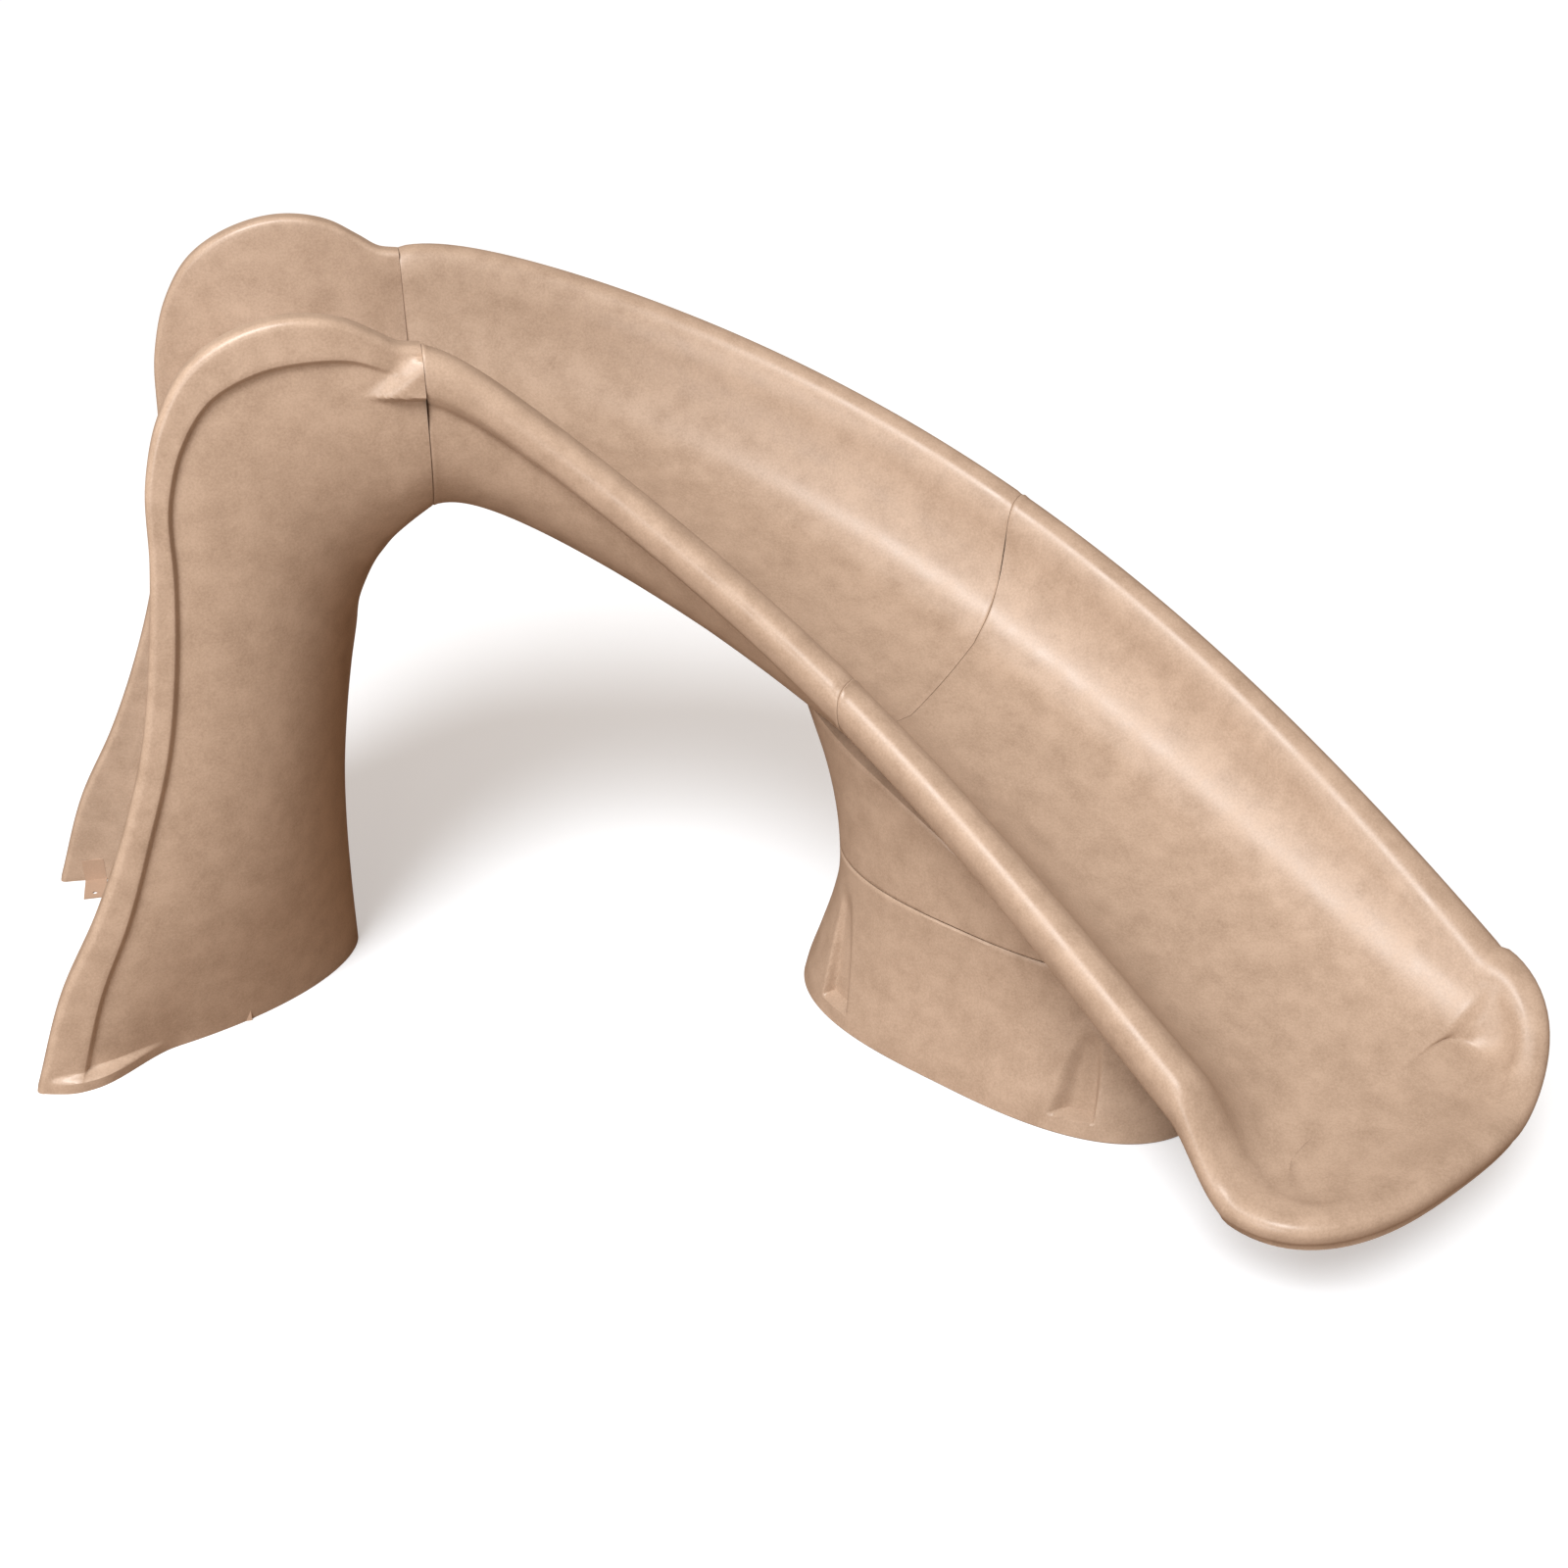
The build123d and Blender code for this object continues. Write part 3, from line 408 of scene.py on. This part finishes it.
def flume_rows(low, high, count, ease_low, ease_high):
    """Stations from low to high, with eased ends where asked."""
    edge = 0.0022
    rows = []
    if ease_low:
        rows += [flume_station(low, edge, 0.0006), flume_station(low, edge * 0.35, 0.0016)]
        rows += [flume_station(low, 0.0, 0.0055)]
    inside = np.linspace(low, high, count)
    rows += [flume_station(s) for s in inside[1:-1]]
    if ease_high:
        rows += [flume_station(high, 0.0, -0.0055), flume_station(high, edge * 0.35, -0.0016)]
        rows += [flume_station(high, edge, -0.0006)]
    else:
        rows += [flume_station(high)]
    return rows


def sheets_of(rows):
    """The upper and the lower sheet from a list of stations."""
    return np.array([row[0] for row in rows]), np.array([row[1] for row in rows])


upper_rows = flume_rows(0.0, SEAM_2, 90, True, True)
upper_chute = swept("upper_chute", *sheets_of(upper_rows), CHUTE_SHARP)
print("upper chute:", len(upper_chute.data.polygons), "faces")

# %% [markdown]
# ## The exit lip
# Past the last full section the rims swing round and meet in a soft waterfall edge
# over the water. Here each station pairs a point of the near rim with one of the far
# rim, and both walk round a rounded outline towards the middle of the lip.

# %% lip stations
LIP_REACH = 0.240            # how far the lip runs past the last full section
LIP_HALF = 0.452             # half width where the lip starts
LIP_SQUARE = 2.6             # how square the lip is in plan
LIP_FINE = 8                 # outline points to one station
LEAST_WALL = 0.004           # the inner wall never gets lower than this


def lip_rows(count):
    """Stations round the lip, each from a point of the near rim to its partner on the far rim."""
    forward, level, _, _ = directions(1.0)
    middle = place_at(1.0)
    bank = angles(1.0)[2]
    phi = np.linspace(0, math.pi / 2, 600)
    power = 2 / LIP_SQUARE
    outline = np.stack([LIP_REACH * np.sin(phi) ** power, LIP_HALF * np.cos(phi) ** power], axis=1)
    last = count * LIP_FINE
    outline = evenly(outline, last + 1)
    steps = np.linalg.norm(np.diff(outline, axis=0), axis=1)
    travel = np.concatenate([[0], np.cumsum(steps)])
    rows = []
    last_inside = 0.0
    for i in range(LIP_FINE, last + 1, LIP_FINE):
        along, across = outline[i]
        tangent = outline[min(i + 2, last)] - outline[i - 2]
        tangent = tangent / np.linalg.norm(tangent)
        if i == last:
            across, tangent = 0.0, np.array([0.0, -1.0])
        q = float(ease(0.0, 0.42, travel[i]))
        crests, outs, heights, bands = [], [], [], []
        tight = float(ease(0.0, 0.22, travel[i]))
        reach = 0.27 * (1 - tight) + 0.095 * tight
        room = (along - last_inside - 0.0015) / max(-tangent[1], 0.001)
        reach = max(0.030, min(reach, room))
        last_inside = max(last_inside, along + tangent[1] * reach)
        for k, sign in ((0, -1), (1, 1)):
            share = rim_fall(travel[i], k)
            top = middle[2] + sign * LIP_HALF * math.sin(bank)
            crest = middle + forward * along + level * sign * across
            crest[2] = top * (1 - share) + EDGE_Z * share
            crests.append(crest)
            lean = sign * math.sin(bank) * tangent[0] * (1 - q)
            outs.append(forward * -tangent[1] + level * sign * tangent[0] + np.array([0, 0, lean]))
            inside = max(along + tangent[1] * reach, 0.0)
            floor_z = middle[2] - trough_depth(1.0) * 0.97 - 0.28 * inside + 0.62 * inside ** 2
            floor_z += sign * (across - tangent[0] * reach) * math.sin(bank) * (1 - q)
            heights.append(max(crest[2] - lean * reach - floor_z, LEAST_WALL) / 0.97)
            bands.append(BAND - BAND_LOSS * share)
        low_z = middle[2] - belly_depth(1.0)
        base = (crests[0] + crests[1]) / 2 + (outs[0] + outs[1]) / 2 * 0.036
        lowest = min(crest[2] for crest in crests)
        bands = [min(band, (lowest - low_z) * 0.93) for band in bands]
        base = base + level * math.sin(bank) * belly_depth(1.0) * (1 - q)
        base[2] = low_z
        up = np.array([0, 0, math.cos(bank)]) - level * math.sin(bank) * (1 - q)
        up = up / np.linalg.norm(up)
        rows.append(section_rows(crests, outs, up, bands, 0.030 + 0.006 * q, reach, heights, base,
                                 0.008 * (1 - q)))
    return rows


lower_rows = flume_rows(SEAM_2, 1.0, 90, True, False) + lip_rows(34)
lower_chute = swept("lower_chute", *sheets_of(lower_rows), CHUTE_SHARP, closed_end=False)
print("lower chute:", len(lower_chute.data.polygons), "faces")

# %% [markdown]
# ## The leg
# The leg stands under the lower half of the flume and follows its bend in plan. Its
# outline at each height is a rounded oblong. It is widest on the deck, draws in to a
# waist, then spreads again to carry the belly. Two tall pockets on each long side
# leave room to drive an anchor bolt.

# %% outline of the leg
PARTING = 0.450              # height where the leg's foot and tower meet
LEG_TUCK = 0.004             # both ends of each moulding draw in by this
POCKET_FLOOR = 0.045
# height, rear end and front end along the plan line, half width
LEG_RINGS = np.array([
    (0.00, 1.000, 2.210, 0.337), (0.05, 1.012, 2.196, 0.330), (0.15, 1.045, 2.160, 0.312),
    (0.28, 1.085, 2.125, 0.296), (0.36, 1.102, 2.110, 0.291), (0.47, 1.102, 2.115, 0.290),
    (0.58, 1.087, 2.13, 0.292), (0.70, 1.055, 2.15, 0.296), (0.79, 1.020, 2.16, 0.300),
    (0.88, 0.980, 2.17, 0.302), (0.95, 0.936, 2.18, 0.303), (1.04, 0.867, 2.19, 0.303),
    (1.10, 0.800, 2.20, 0.300), (1.20, 0.680, 2.20, 0.290),
])
POCKETS = ((1.205, 0.380), (2.005, 0.300))


def plan_point(along, across):
    """A place on the deck from the distance along the flume's plan line and across it."""
    s = np.interp(along, PLAN_RUN, np.arange(STEPS + 1) / STEPS)
    forward, level, _, _ = directions(s)
    point = place_at(s) + forward * max(0.0, along - PLAN_RUN[-1]) + level * across
    return s, point


def belly_z(along, across):
    """Height of the flume's belly over a place on the plan line."""
    s = float(np.interp(along, PLAN_RUN, np.arange(STEPS + 1) / STEPS))
    bank = angles(s)[2]
    wall = half_width(s) + wall_offset(s)
    share = min(abs(across) / wall, 0.999)
    drop = belly_depth(s) * (1 - share ** 3.2) ** (1 / 3.2)
    return place_at(s)[2] - drop + across * math.sin(bank)


def leg_outline(z, angle):
    """Distance along the plan line and across it of the leg's skin at one height."""
    _, rear, front, wide = through(LEG_RINGS[:, 0], LEG_RINGS, min(z, 1.2))[0]
    c, s = math.cos(angle), math.sin(angle)
    along = (rear + front) / 2 + (front - rear) / 2 * math.copysign(abs(c) ** (2 / 2.4), c)
    across = wide * math.copysign(abs(s) ** (2 / 2.4), s)
    return along, across


def pocket_depth(along, z):
    """How far the anchor pockets go into the leg's long sides."""
    depth = 0.0
    for place, top in POCKETS:
        climb = np.clip((z - POCKET_FLOOR) / (top - POCKET_FLOOR), 0, 1)
        half = 0.045 * (1 - climb) ** 0.45 + 0.004
        inside = 1 - ease(half - 0.020, half + 0.008, abs(along - place))
        rise = ease(0.044, 0.052, z) * (1 - ease(top - 0.06, top, z))
        depth = max(depth, float(0.045 * (1 - climb) ** 0.8 * inside * rise))
    return depth


def leg_column(angle, heights_up_to_top):
    """One column of points up the leg, from the deck or the parting to the belly."""
    top = 0.6
    for _ in range(12):
        along, across = leg_outline(top, angle)
        top = 0.5 * top + 0.5 * min(max(belly_z(along, across), 0.10), 1.18)
    points = []
    for low, share in heights_up_to_top:
        z = low if share is None else low + share * (top + 0.020 - low)
        z = min(z, top + 0.020)
        along, across = leg_outline(z, angle)
        across -= math.copysign(pocket_depth(along, z), across)
        _, point = plan_point(along, across)
        points.append((point[0], point[1], z))
    return points


def leg_piece(name, heights, count=420):
    """One moulding of the leg, from columns of points all round it."""
    columns = [leg_column(2 * math.pi * (i + 0.5) / count, heights) for i in range(count)]
    rows = np.array(columns).transpose(1, 0, 2)
    for end in (0, -1):
        away = rows[end] - rows[end].mean(axis=0)
        away[:, 2] = 0
        rows[end] -= away / np.linalg.norm(away, axis=1, keepdims=True) * LEG_TUCK
    verts = rows.reshape(-1, 3)
    faces = []
    for i in range(len(rows) - 1):
        for j in range(count):
            k = (j + 1) % count
            faces.append((i * count + j, i * count + k, (i + 1) * count + k, (i + 1) * count + j))
    for base in (0, (len(rows) - 1) * count):
        half = count // 2
        for j in range(half - 1):
            faces.append((base + j, base + j + 1, base + count - 2 - j, base + count - 1 - j))
    return object_from(name, verts, faces, 40)


foot_heights = [(0.0, None), (0.004, None)] + [(z, None) for z in np.arange(0.012, 0.066, 0.004)]
foot_heights += [(z, None) for z in np.linspace(0.07, PARTING - 0.006, 44)] + [(PARTING - 0.0015, None)]
leg_base = leg_piece("leg_foot_moulding", foot_heights)
tower_heights = [(PARTING + 0.0015, None)] + [(PARTING + 0.006, t) for t in np.linspace(0, 1, 40)]
leg_top = leg_piece("leg_tower_moulding", tower_heights)
print("leg:", len(leg_base.data.polygons), "and", len(leg_top.data.polygons), "faces")

# %% [markdown]
# ## Treads and seat deck
# Each tread is a hollow board with well rounded long edges. Bare feet need grip on wet
# plastic, so a row of slim beads runs across the top. The beads repeat at one spacing,
# which is a job for a small rule tree: one bead, copied along a line of points.

# %% the bead rule tree
def bead_tree(material):
    """The rule: one bead along Y, copied along X, joined to the board and painted."""
    tree = bpy.data.node_groups.new("grip beads", "GeometryNodeTree")
    face = tree.interface
    face.new_socket(name="Board", in_out="INPUT", socket_type="NodeSocketGeometry")
    for label, kind in (("Count", "NodeSocketInt"), ("First bead", "NodeSocketVector"),
                        ("Spacing", "NodeSocketFloat"), ("Bead length", "NodeSocketFloat"),
                        ("Bead radius", "NodeSocketFloat")):
        face.new_socket(name=label, in_out="INPUT", socket_type=kind)
    face.new_socket(name="Board with beads", in_out="OUTPUT", socket_type="NodeSocketGeometry")
    nodes, links = tree.nodes, tree.links
    given = nodes.new("NodeGroupInput")
    half = nodes.new("ShaderNodeMath")
    half.operation = "MULTIPLY"
    half.inputs[1].default_value = 0.5
    links.new(given.outputs["Bead length"], half.inputs[0])
    minus = nodes.new("ShaderNodeMath")
    minus.operation = "MULTIPLY"
    minus.inputs[1].default_value = -1.0
    links.new(half.outputs[0], minus.inputs[0])
    ends = []
    for source in (minus, half):
        spot = nodes.new("ShaderNodeCombineXYZ")
        links.new(source.outputs[0], spot.inputs["Y"])
        ends.append(spot)
    line = nodes.new("GeometryNodeCurvePrimitiveLine")
    links.new(ends[0].outputs[0], line.inputs["Start"])
    links.new(ends[1].outputs[0], line.inputs["End"])
    ring = nodes.new("GeometryNodeCurvePrimitiveCircle")
    ring.inputs["Resolution"].default_value = 12
    links.new(given.outputs["Bead radius"], ring.inputs["Radius"])
    bead = nodes.new("GeometryNodeCurveToMesh")
    bead.inputs["Fill Caps"].default_value = True
    links.new(line.outputs["Curve"], bead.inputs["Curve"])
    links.new(ring.outputs["Curve"], bead.inputs["Profile Curve"])
    pitch = nodes.new("ShaderNodeCombineXYZ")
    links.new(given.outputs["Spacing"], pitch.inputs["X"])
    row = nodes.new("GeometryNodeMeshLine")
    links.new(given.outputs["Count"], row.inputs["Count"])
    links.new(given.outputs["First bead"], row.inputs["Start Location"])
    links.new(pitch.outputs[0], row.inputs["Offset"])
    copies = nodes.new("GeometryNodeInstanceOnPoints")
    links.new(row.outputs[0], copies.inputs["Points"])
    links.new(bead.outputs[0], copies.inputs["Instance"])
    both = nodes.new("GeometryNodeJoinGeometry")
    links.new(copies.outputs[0], both.inputs[0])
    links.new(given.outputs["Board"], both.inputs[0])
    real = nodes.new("GeometryNodeRealizeInstances")
    links.new(both.outputs[0], real.inputs[0])
    paint = nodes.new("GeometryNodeSetMaterial")
    paint.inputs["Material"].default_value = material
    links.new(real.outputs[0], paint.inputs["Geometry"])
    out = nodes.new("NodeGroupOutput")
    links.new(paint.outputs[0], out.inputs[0])
    return tree


def apply_tree(piece, tree, values):
    """Run the tree on a piece once, keep the result as its mesh, and drop the modifier."""
    rule = piece.modifiers.new("rule", "NODES")
    rule.node_group = tree
    for item in tree.interface.items_tree:
        if item.in_out == "INPUT" and item.name in values:
            rule[item.identifier] = values[item.name]
    graph = bpy.context.evaluated_depsgraph_get()
    mesh = bpy.data.meshes.new_from_object(piece.evaluated_get(graph))
    piece.modifiers.clear()
    piece.data = mesh


print("bead tree ready")

# %% [markdown]
# ## Finishes
# The mouldings are coloured right through: a warm sand plastic with fine darker and
# lighter grains, like the sandstone it copies. The grain is too fine to feel, but it
# breaks up the light, so the finish is satin rather than glossy. One shared group
# makes the grain, and each material decides how much of it to use.

# %% shared grain group
def grain_group():
    """Two noises, spread to the full range: fine grain and slow drift."""
    group = bpy.data.node_groups.new("stone grain", "ShaderNodeTree")
    face = group.interface
    face.new_socket(name="Vector", in_out="INPUT", socket_type="NodeSocketVector")
    for label in ("Fine scale", "Broad scale"):
        face.new_socket(name=label, in_out="INPUT", socket_type="NodeSocketFloat")
    for label in ("Fine", "Broad", "Height"):
        face.new_socket(name=label, in_out="OUTPUT", socket_type="NodeSocketFloat")
    nodes, links = group.nodes, group.links
    given = nodes.new("NodeGroupInput")
    out = nodes.new("NodeGroupOutput")
    for label, detail, low, high in (("Fine", 3.0, 0.30, 0.70), ("Broad", 4.0, 0.28, 0.72)):
        noise = nodes.new("ShaderNodeTexNoise")
        noise.inputs["Detail"].default_value = detail
        noise.inputs["Roughness"].default_value = 0.6
        links.new(given.outputs["Vector"], noise.inputs["Vector"])
        links.new(given.outputs[label + " scale"], noise.inputs["Scale"])
        spread = nodes.new("ShaderNodeMapRange")
        spread.inputs["From Min"].default_value = low
        spread.inputs["From Max"].default_value = high
        links.new(noise.outputs[0], spread.inputs["Value"])
        links.new(spread.outputs["Result"], out.inputs[label])
        if label == "Fine":
            links.new(noise.outputs[0], out.inputs["Height"])
    return group


GRAIN = grain_group()
print("grain group ready")

# %% one recipe for every finish
def finish(name, dark, light, rough, metal=0.0, fine=300.0, broad=2.5, grain=0.5, drift=0.5,
           bump=0.04, coat=0.0, rough_drift=0.08):
    """A finish between two near colours, with grain, slow drift, uneven gloss and a faint texture."""
    made = bpy.data.materials.new(name)
    made.use_nodes = True
    nodes, links = made.node_tree.nodes, made.node_tree.links
    shader = nodes["Principled BSDF"]
    shader.inputs["Metallic"].default_value = metal
    shader.inputs["Coat Weight"].default_value = coat
    where = nodes.new("ShaderNodeTexCoord")
    stone = nodes.new("ShaderNodeGroup")
    stone.node_tree = GRAIN
    stone.inputs["Fine scale"].default_value = fine
    stone.inputs["Broad scale"].default_value = broad
    links.new(where.outputs["Object"], stone.inputs["Vector"])
    total = nodes.new("ShaderNodeMath")
    total.operation = "MULTIPLY_ADD"
    total.inputs[1].default_value = grain
    links.new(stone.outputs["Fine"], total.inputs[0])
    slow = nodes.new("ShaderNodeMath")
    slow.operation = "MULTIPLY"
    slow.inputs[1].default_value = drift
    links.new(stone.outputs["Broad"], slow.inputs[0])
    links.new(slow.outputs[0], total.inputs[2])
    mix = nodes.new("ShaderNodeMix")
    mix.data_type = "RGBA"
    mix.inputs[6].default_value = (*dark, 1)
    mix.inputs[7].default_value = (*light, 1)
    links.new(total.outputs[0], mix.inputs[0])
    links.new(mix.outputs[2], shader.inputs["Base Color"])
    gloss = nodes.new("ShaderNodeMapRange")
    gloss.inputs["To Min"].default_value = rough - rough_drift
    gloss.inputs["To Max"].default_value = rough + rough_drift
    links.new(stone.outputs["Broad"], gloss.inputs["Value"])
    links.new(gloss.outputs["Result"], shader.inputs["Roughness"])
    relief = nodes.new("ShaderNodeBump")
    relief.inputs["Strength"].default_value = bump
    relief.inputs["Distance"].default_value = 0.001
    links.new(stone.outputs["Height"], relief.inputs["Height"])
    links.new(relief.outputs["Normal"], shader.inputs["Normal"])
    return made


SAND = finish("sandstone plastic", (0.365, 0.262, 0.190), (0.520, 0.390, 0.294), 0.38, fine=190, broad=14,
              grain=0.6, drift=0.7, bump=0.05)
TREAD = finish("tread plastic", (0.40, 0.27, 0.19), (0.50, 0.35, 0.255), 0.50, fine=170, bump=0.08)
COATED = finish("powder coated steel", (0.42, 0.29, 0.21), (0.52, 0.37, 0.27), 0.5, fine=260, bump=0.10)
STEEL = finish("stainless steel", (0.50, 0.50, 0.49), (0.62, 0.62, 0.60), 0.30, metal=1.0, fine=400,
               bump=0.02)
FOAM = finish("seal foam", (0.20, 0.13, 0.09), (0.27, 0.18, 0.125), 0.85, fine=500, bump=0.25)
BRASS = finish("valve brass", (0.52, 0.36, 0.14), (0.66, 0.48, 0.21), 0.28, metal=1.0, fine=300, bump=0.03)
RUBBER = finish("hose rubber", (0.018, 0.020, 0.022), (0.035, 0.037, 0.040), 0.62, fine=400, bump=0.10)
GRIP = finish("lever grip", (0.07, 0.17, 0.42), (0.12, 0.25, 0.54), 0.45, fine=350, bump=0.08)
CHROME = finish("polished ball", (0.70, 0.70, 0.70), (0.80, 0.80, 0.80), 0.10, metal=1.0, fine=200,
                bump=0.01, rough_drift=0.04)
TRIM = finish("trim plastic", (0.60, 0.59, 0.56), (0.70, 0.69, 0.66), 0.40, fine=250, bump=0.04)
print("finishes ready")

# %% treads and deck
def board(name, node):
    """A board with well rounded edges and grip beads that fills the place of a CAD board."""
    low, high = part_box(node)
    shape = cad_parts[node].data
    corners = np.array([tuple(v.co) for v in shape.vertices])
    clear = []
    for x in (low[0], high[0]):
        near = corners[np.abs(corners[:, 0] - x) < 0.002]
        clear.append(np.abs(near[:, 1]).max())
    r = min(0.016, (high[2] - low[2]) * 0.4)
    outline = []
    for cx, cz, first in ((high[0] - r, high[2] - r, 0), (low[0] + r, high[2] - r, 90)):
        for a in np.radians(np.linspace(first, first + 90, 8)):
            outline.append((cx + r * math.cos(a), cz + r * math.sin(a)))
    top = [(high[0], (low[2] + high[2]) / 2)] + outline + [(low[0], (low[2] + high[2]) / 2)]
    top = evenly(top, 60)
    under = np.stack([top[:, 0], low[2] + high[2] - top[:, 1]], axis=1)
    ends = np.array([-1.0, -0.99, -0.9, -0.5, 0.0, 0.5, 0.9, 0.99, 1.0])
    tucks = np.array([0.004, 0.0, 0, 0, 0, 0, 0, 0.0, 0.004])
    sheets = []
    for rows in (top, under):
        width = np.interp(rows[:, 0], (low[0], high[0]), clear)
        middle = np.array([(low[0] + high[0]) / 2, (low[2] + high[2]) / 2])
        sheet = []
        for share, tuck in zip(ends, tucks):
            small = rows + np.sign(middle - rows) * tuck
            sheet.append(np.stack([small[:, 0], share * width, small[:, 1]], axis=1))
        sheets.append(np.array(sheet))
    piece = swept(name, sheets[0], sheets[1], 40)
    count = int((high[0] - low[0] - 0.05) / BEAD_PITCH)
    first = ((low[0] + high[0]) / 2 - (count - 1) * BEAD_PITCH / 2, 0.0, high[2] - 0.0022)
    apply_tree(piece, BEADS, {"Count": count, "First bead": first, "Spacing": BEAD_PITCH,
                              "Bead length": 2 * min(clear) - 0.05, "Bead radius": BEAD_RADIUS})
    return piece


BEAD_PITCH = 0.020
BEAD_RADIUS = 0.0042
BEADS = bead_tree(TREAD)
boards = {}
for number in range(1, 6):
    boards[f"tread_{number}"] = board(f"grip_tread_{number}", f"tread_{number}")
boards["seat_deck"] = board("grip_seat_deck", "seat_deck")
print("boards:", {key: len(piece.data.polygons) for key, piece in boards.items()})

# %% [markdown]
# ## Join the looks to the frame
# Each visible moulding takes the place of its engineering piece and moves with its
# body. The small fittings keep their engineering shape, which is already true to the
# part, and only take a finish.

# %% hand the pieces over
mouldings = {
    "ladder_side_right": right_side, "ladder_side_left": left_side,
    "upper_flume": upper_chute, "lower_flume": lower_chute,
    "leg_foot": leg_base, "leg_tower": leg_top,
}
for node, piece in mouldings.items():
    piece.data.materials.append(SAND)
    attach(piece, "root")
    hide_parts(node)
for node, piece in boards.items():
    piece.data.polygons.foreach_set("use_smooth", [True] * len(piece.data.polygons))
    piece.data.set_sharp_from_angle(angle=math.radians(40))
    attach(piece, "root")
    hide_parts(node)

FITTINGS = {
    STEEL: ("seam_bolts", "seam_washers", "seam_nuts", "tread_screws", "hose_clamps"),
    COATED: ("tread_brackets", "anchor_bracket"),
    FOAM: ("seam_seal",), BRASS: ("valve_body", "hose_swivel_nut"), CHROME: ("valve_ball",),
    GRIP: ("valve_lever",), RUBBER: ("riser_hose",), TRIM: ("drain_plugs", "spray_nozzle", "nozzle_nut"),
}
for look, starts in FITTINGS.items():
    for node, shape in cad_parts.items():
        if node.startswith(starts):
            shape.data.materials.clear()
            shape.data.materials.append(look)
print("mouldings and fittings have their finishes")

# %% [markdown]
# ## Floor, light and camera
# A bright, even studio: white paper underfoot that keeps only the soft shadow, a broad
# high light from the front left, a softbox near the ladder, and a fill from in front. Light that has
# bounced is kept warm and dim, so the shaded plastic turns a deeper brown.

# %% studio
def studio_floor_finish():
    """White paper to the camera, and a dull warm surface to the light that bounces about."""
    made = bpy.data.materials.new("studio paper")
    made.use_nodes = True
    nodes, links = made.node_tree.nodes, made.node_tree.links
    nodes.remove(nodes["Principled BSDF"])
    where = nodes.new("ShaderNodeTexCoord")
    stone = nodes.new("ShaderNodeGroup")
    stone.node_tree = GRAIN
    stone.inputs["Fine scale"].default_value = 60
    stone.inputs["Broad scale"].default_value = 0.6
    links.new(where.outputs["Object"], stone.inputs["Vector"])
    tint = nodes.new("ShaderNodeMix")
    tint.data_type = "RGBA"
    tint.inputs[6].default_value = (0.70, 0.745, 0.79, 1)
    tint.inputs[7].default_value = (0.72, 0.765, 0.81, 1)
    links.new(stone.outputs["Broad"], tint.inputs[0])
    paper = nodes.new("ShaderNodeBsdfDiffuse")
    links.new(tint.outputs[2], paper.inputs["Color"])
    glow = nodes.new("ShaderNodeEmission")
    glow.inputs["Color"].default_value = (1, 1, 1, 1)
    glow.inputs["Strength"].default_value = 0.40
    seen = nodes.new("ShaderNodeAddShader")
    links.new(paper.outputs[0], seen.inputs[0])
    links.new(glow.outputs[0], seen.inputs[1])
    dull = nodes.new("ShaderNodeBsdfDiffuse")
    dull.inputs["Color"].default_value = (0.26, 0.17, 0.11, 1)
    ray = nodes.new("ShaderNodeLightPath")
    choose = nodes.new("ShaderNodeMixShader")
    links.new(ray.outputs["Is Camera Ray"], choose.inputs[0])
    links.new(dull.outputs[0], choose.inputs[1])
    links.new(seen.outputs[0], choose.inputs[2])
    links.new(choose.outputs[0], nodes["Material Output"].inputs["Surface"])
    return made


ground = bpy.data.meshes.new("studio_floor")
ground.from_pydata([(-40, -40, 0), (40, -40, 0), (40, 40, 0), (-40, 40, 0)], [], [(0, 1, 2, 3)])
floor = bpy.data.objects.new("studio_floor", ground)
bpy.context.scene.collection.objects.link(floor)
floor.data.materials.append(studio_floor_finish())

world = bpy.data.worlds.new("studio surround")
bpy.context.scene.world = world
world.use_nodes = True
nodes, links = world.node_tree.nodes, world.node_tree.links
surround = nodes["Background"]
path = nodes.new("ShaderNodeLightPath")
shade = nodes.new("ShaderNodeMix")
shade.data_type = "RGBA"
shade.inputs[6].default_value = (0.34, 0.245, 0.180, 1)
shade.inputs[7].default_value = (1, 1, 1, 1)
links.new(path.outputs["Is Camera Ray"], shade.inputs[0])
links.new(shade.outputs[2], surround.inputs["Color"])


def lamp_at(name, kind, place, target, power):
    """A white lamp that points from its place to the target."""
    lamp = bpy.data.lights.new(name, kind)
    lamp.energy = power
    holder = bpy.data.objects.new(name, lamp)
    holder.location = place
    way = Vector(target) - Vector(place)
    holder.rotation_euler = way.to_track_quat("-Z", "Y").to_euler()
    bpy.context.scene.collection.objects.link(holder)
    return lamp


key = lamp_at("key light", "SUN", (-3.0, -5.0, 8.1), (0, 0, 0), 2.3)
key.angle = math.radians(22)
near = lamp_at("near softbox", "AREA", (-0.9, -2.4, 4.4), (1.0, -0.2, 1.3), 85)
near.shape = "RECTANGLE"
near.size, near.size_y = 2.0, 2.0
fill = lamp_at("front fill", "AREA", (-2.2, -6.5, 2.0), (0.6, -0.5, 0.8), 165)
fill.shape = "RECTANGLE"
fill.size, fill.size_y = 3.5, 2.5

lens = bpy.data.cameras.new("studio camera")
lens.lens = 49.5
lens.sensor_width = 36
camera = bpy.data.objects.new("studio camera", lens)
camera.location = (0.796, -5.048, 3.452)
camera.rotation_euler = (math.radians(58.92), 0, math.radians(-12.70))
bpy.context.scene.collection.objects.link(camera)
bpy.context.scene.camera = camera
bpy.context.scene.view_settings.view_transform = "Standard"
print("studio ready")
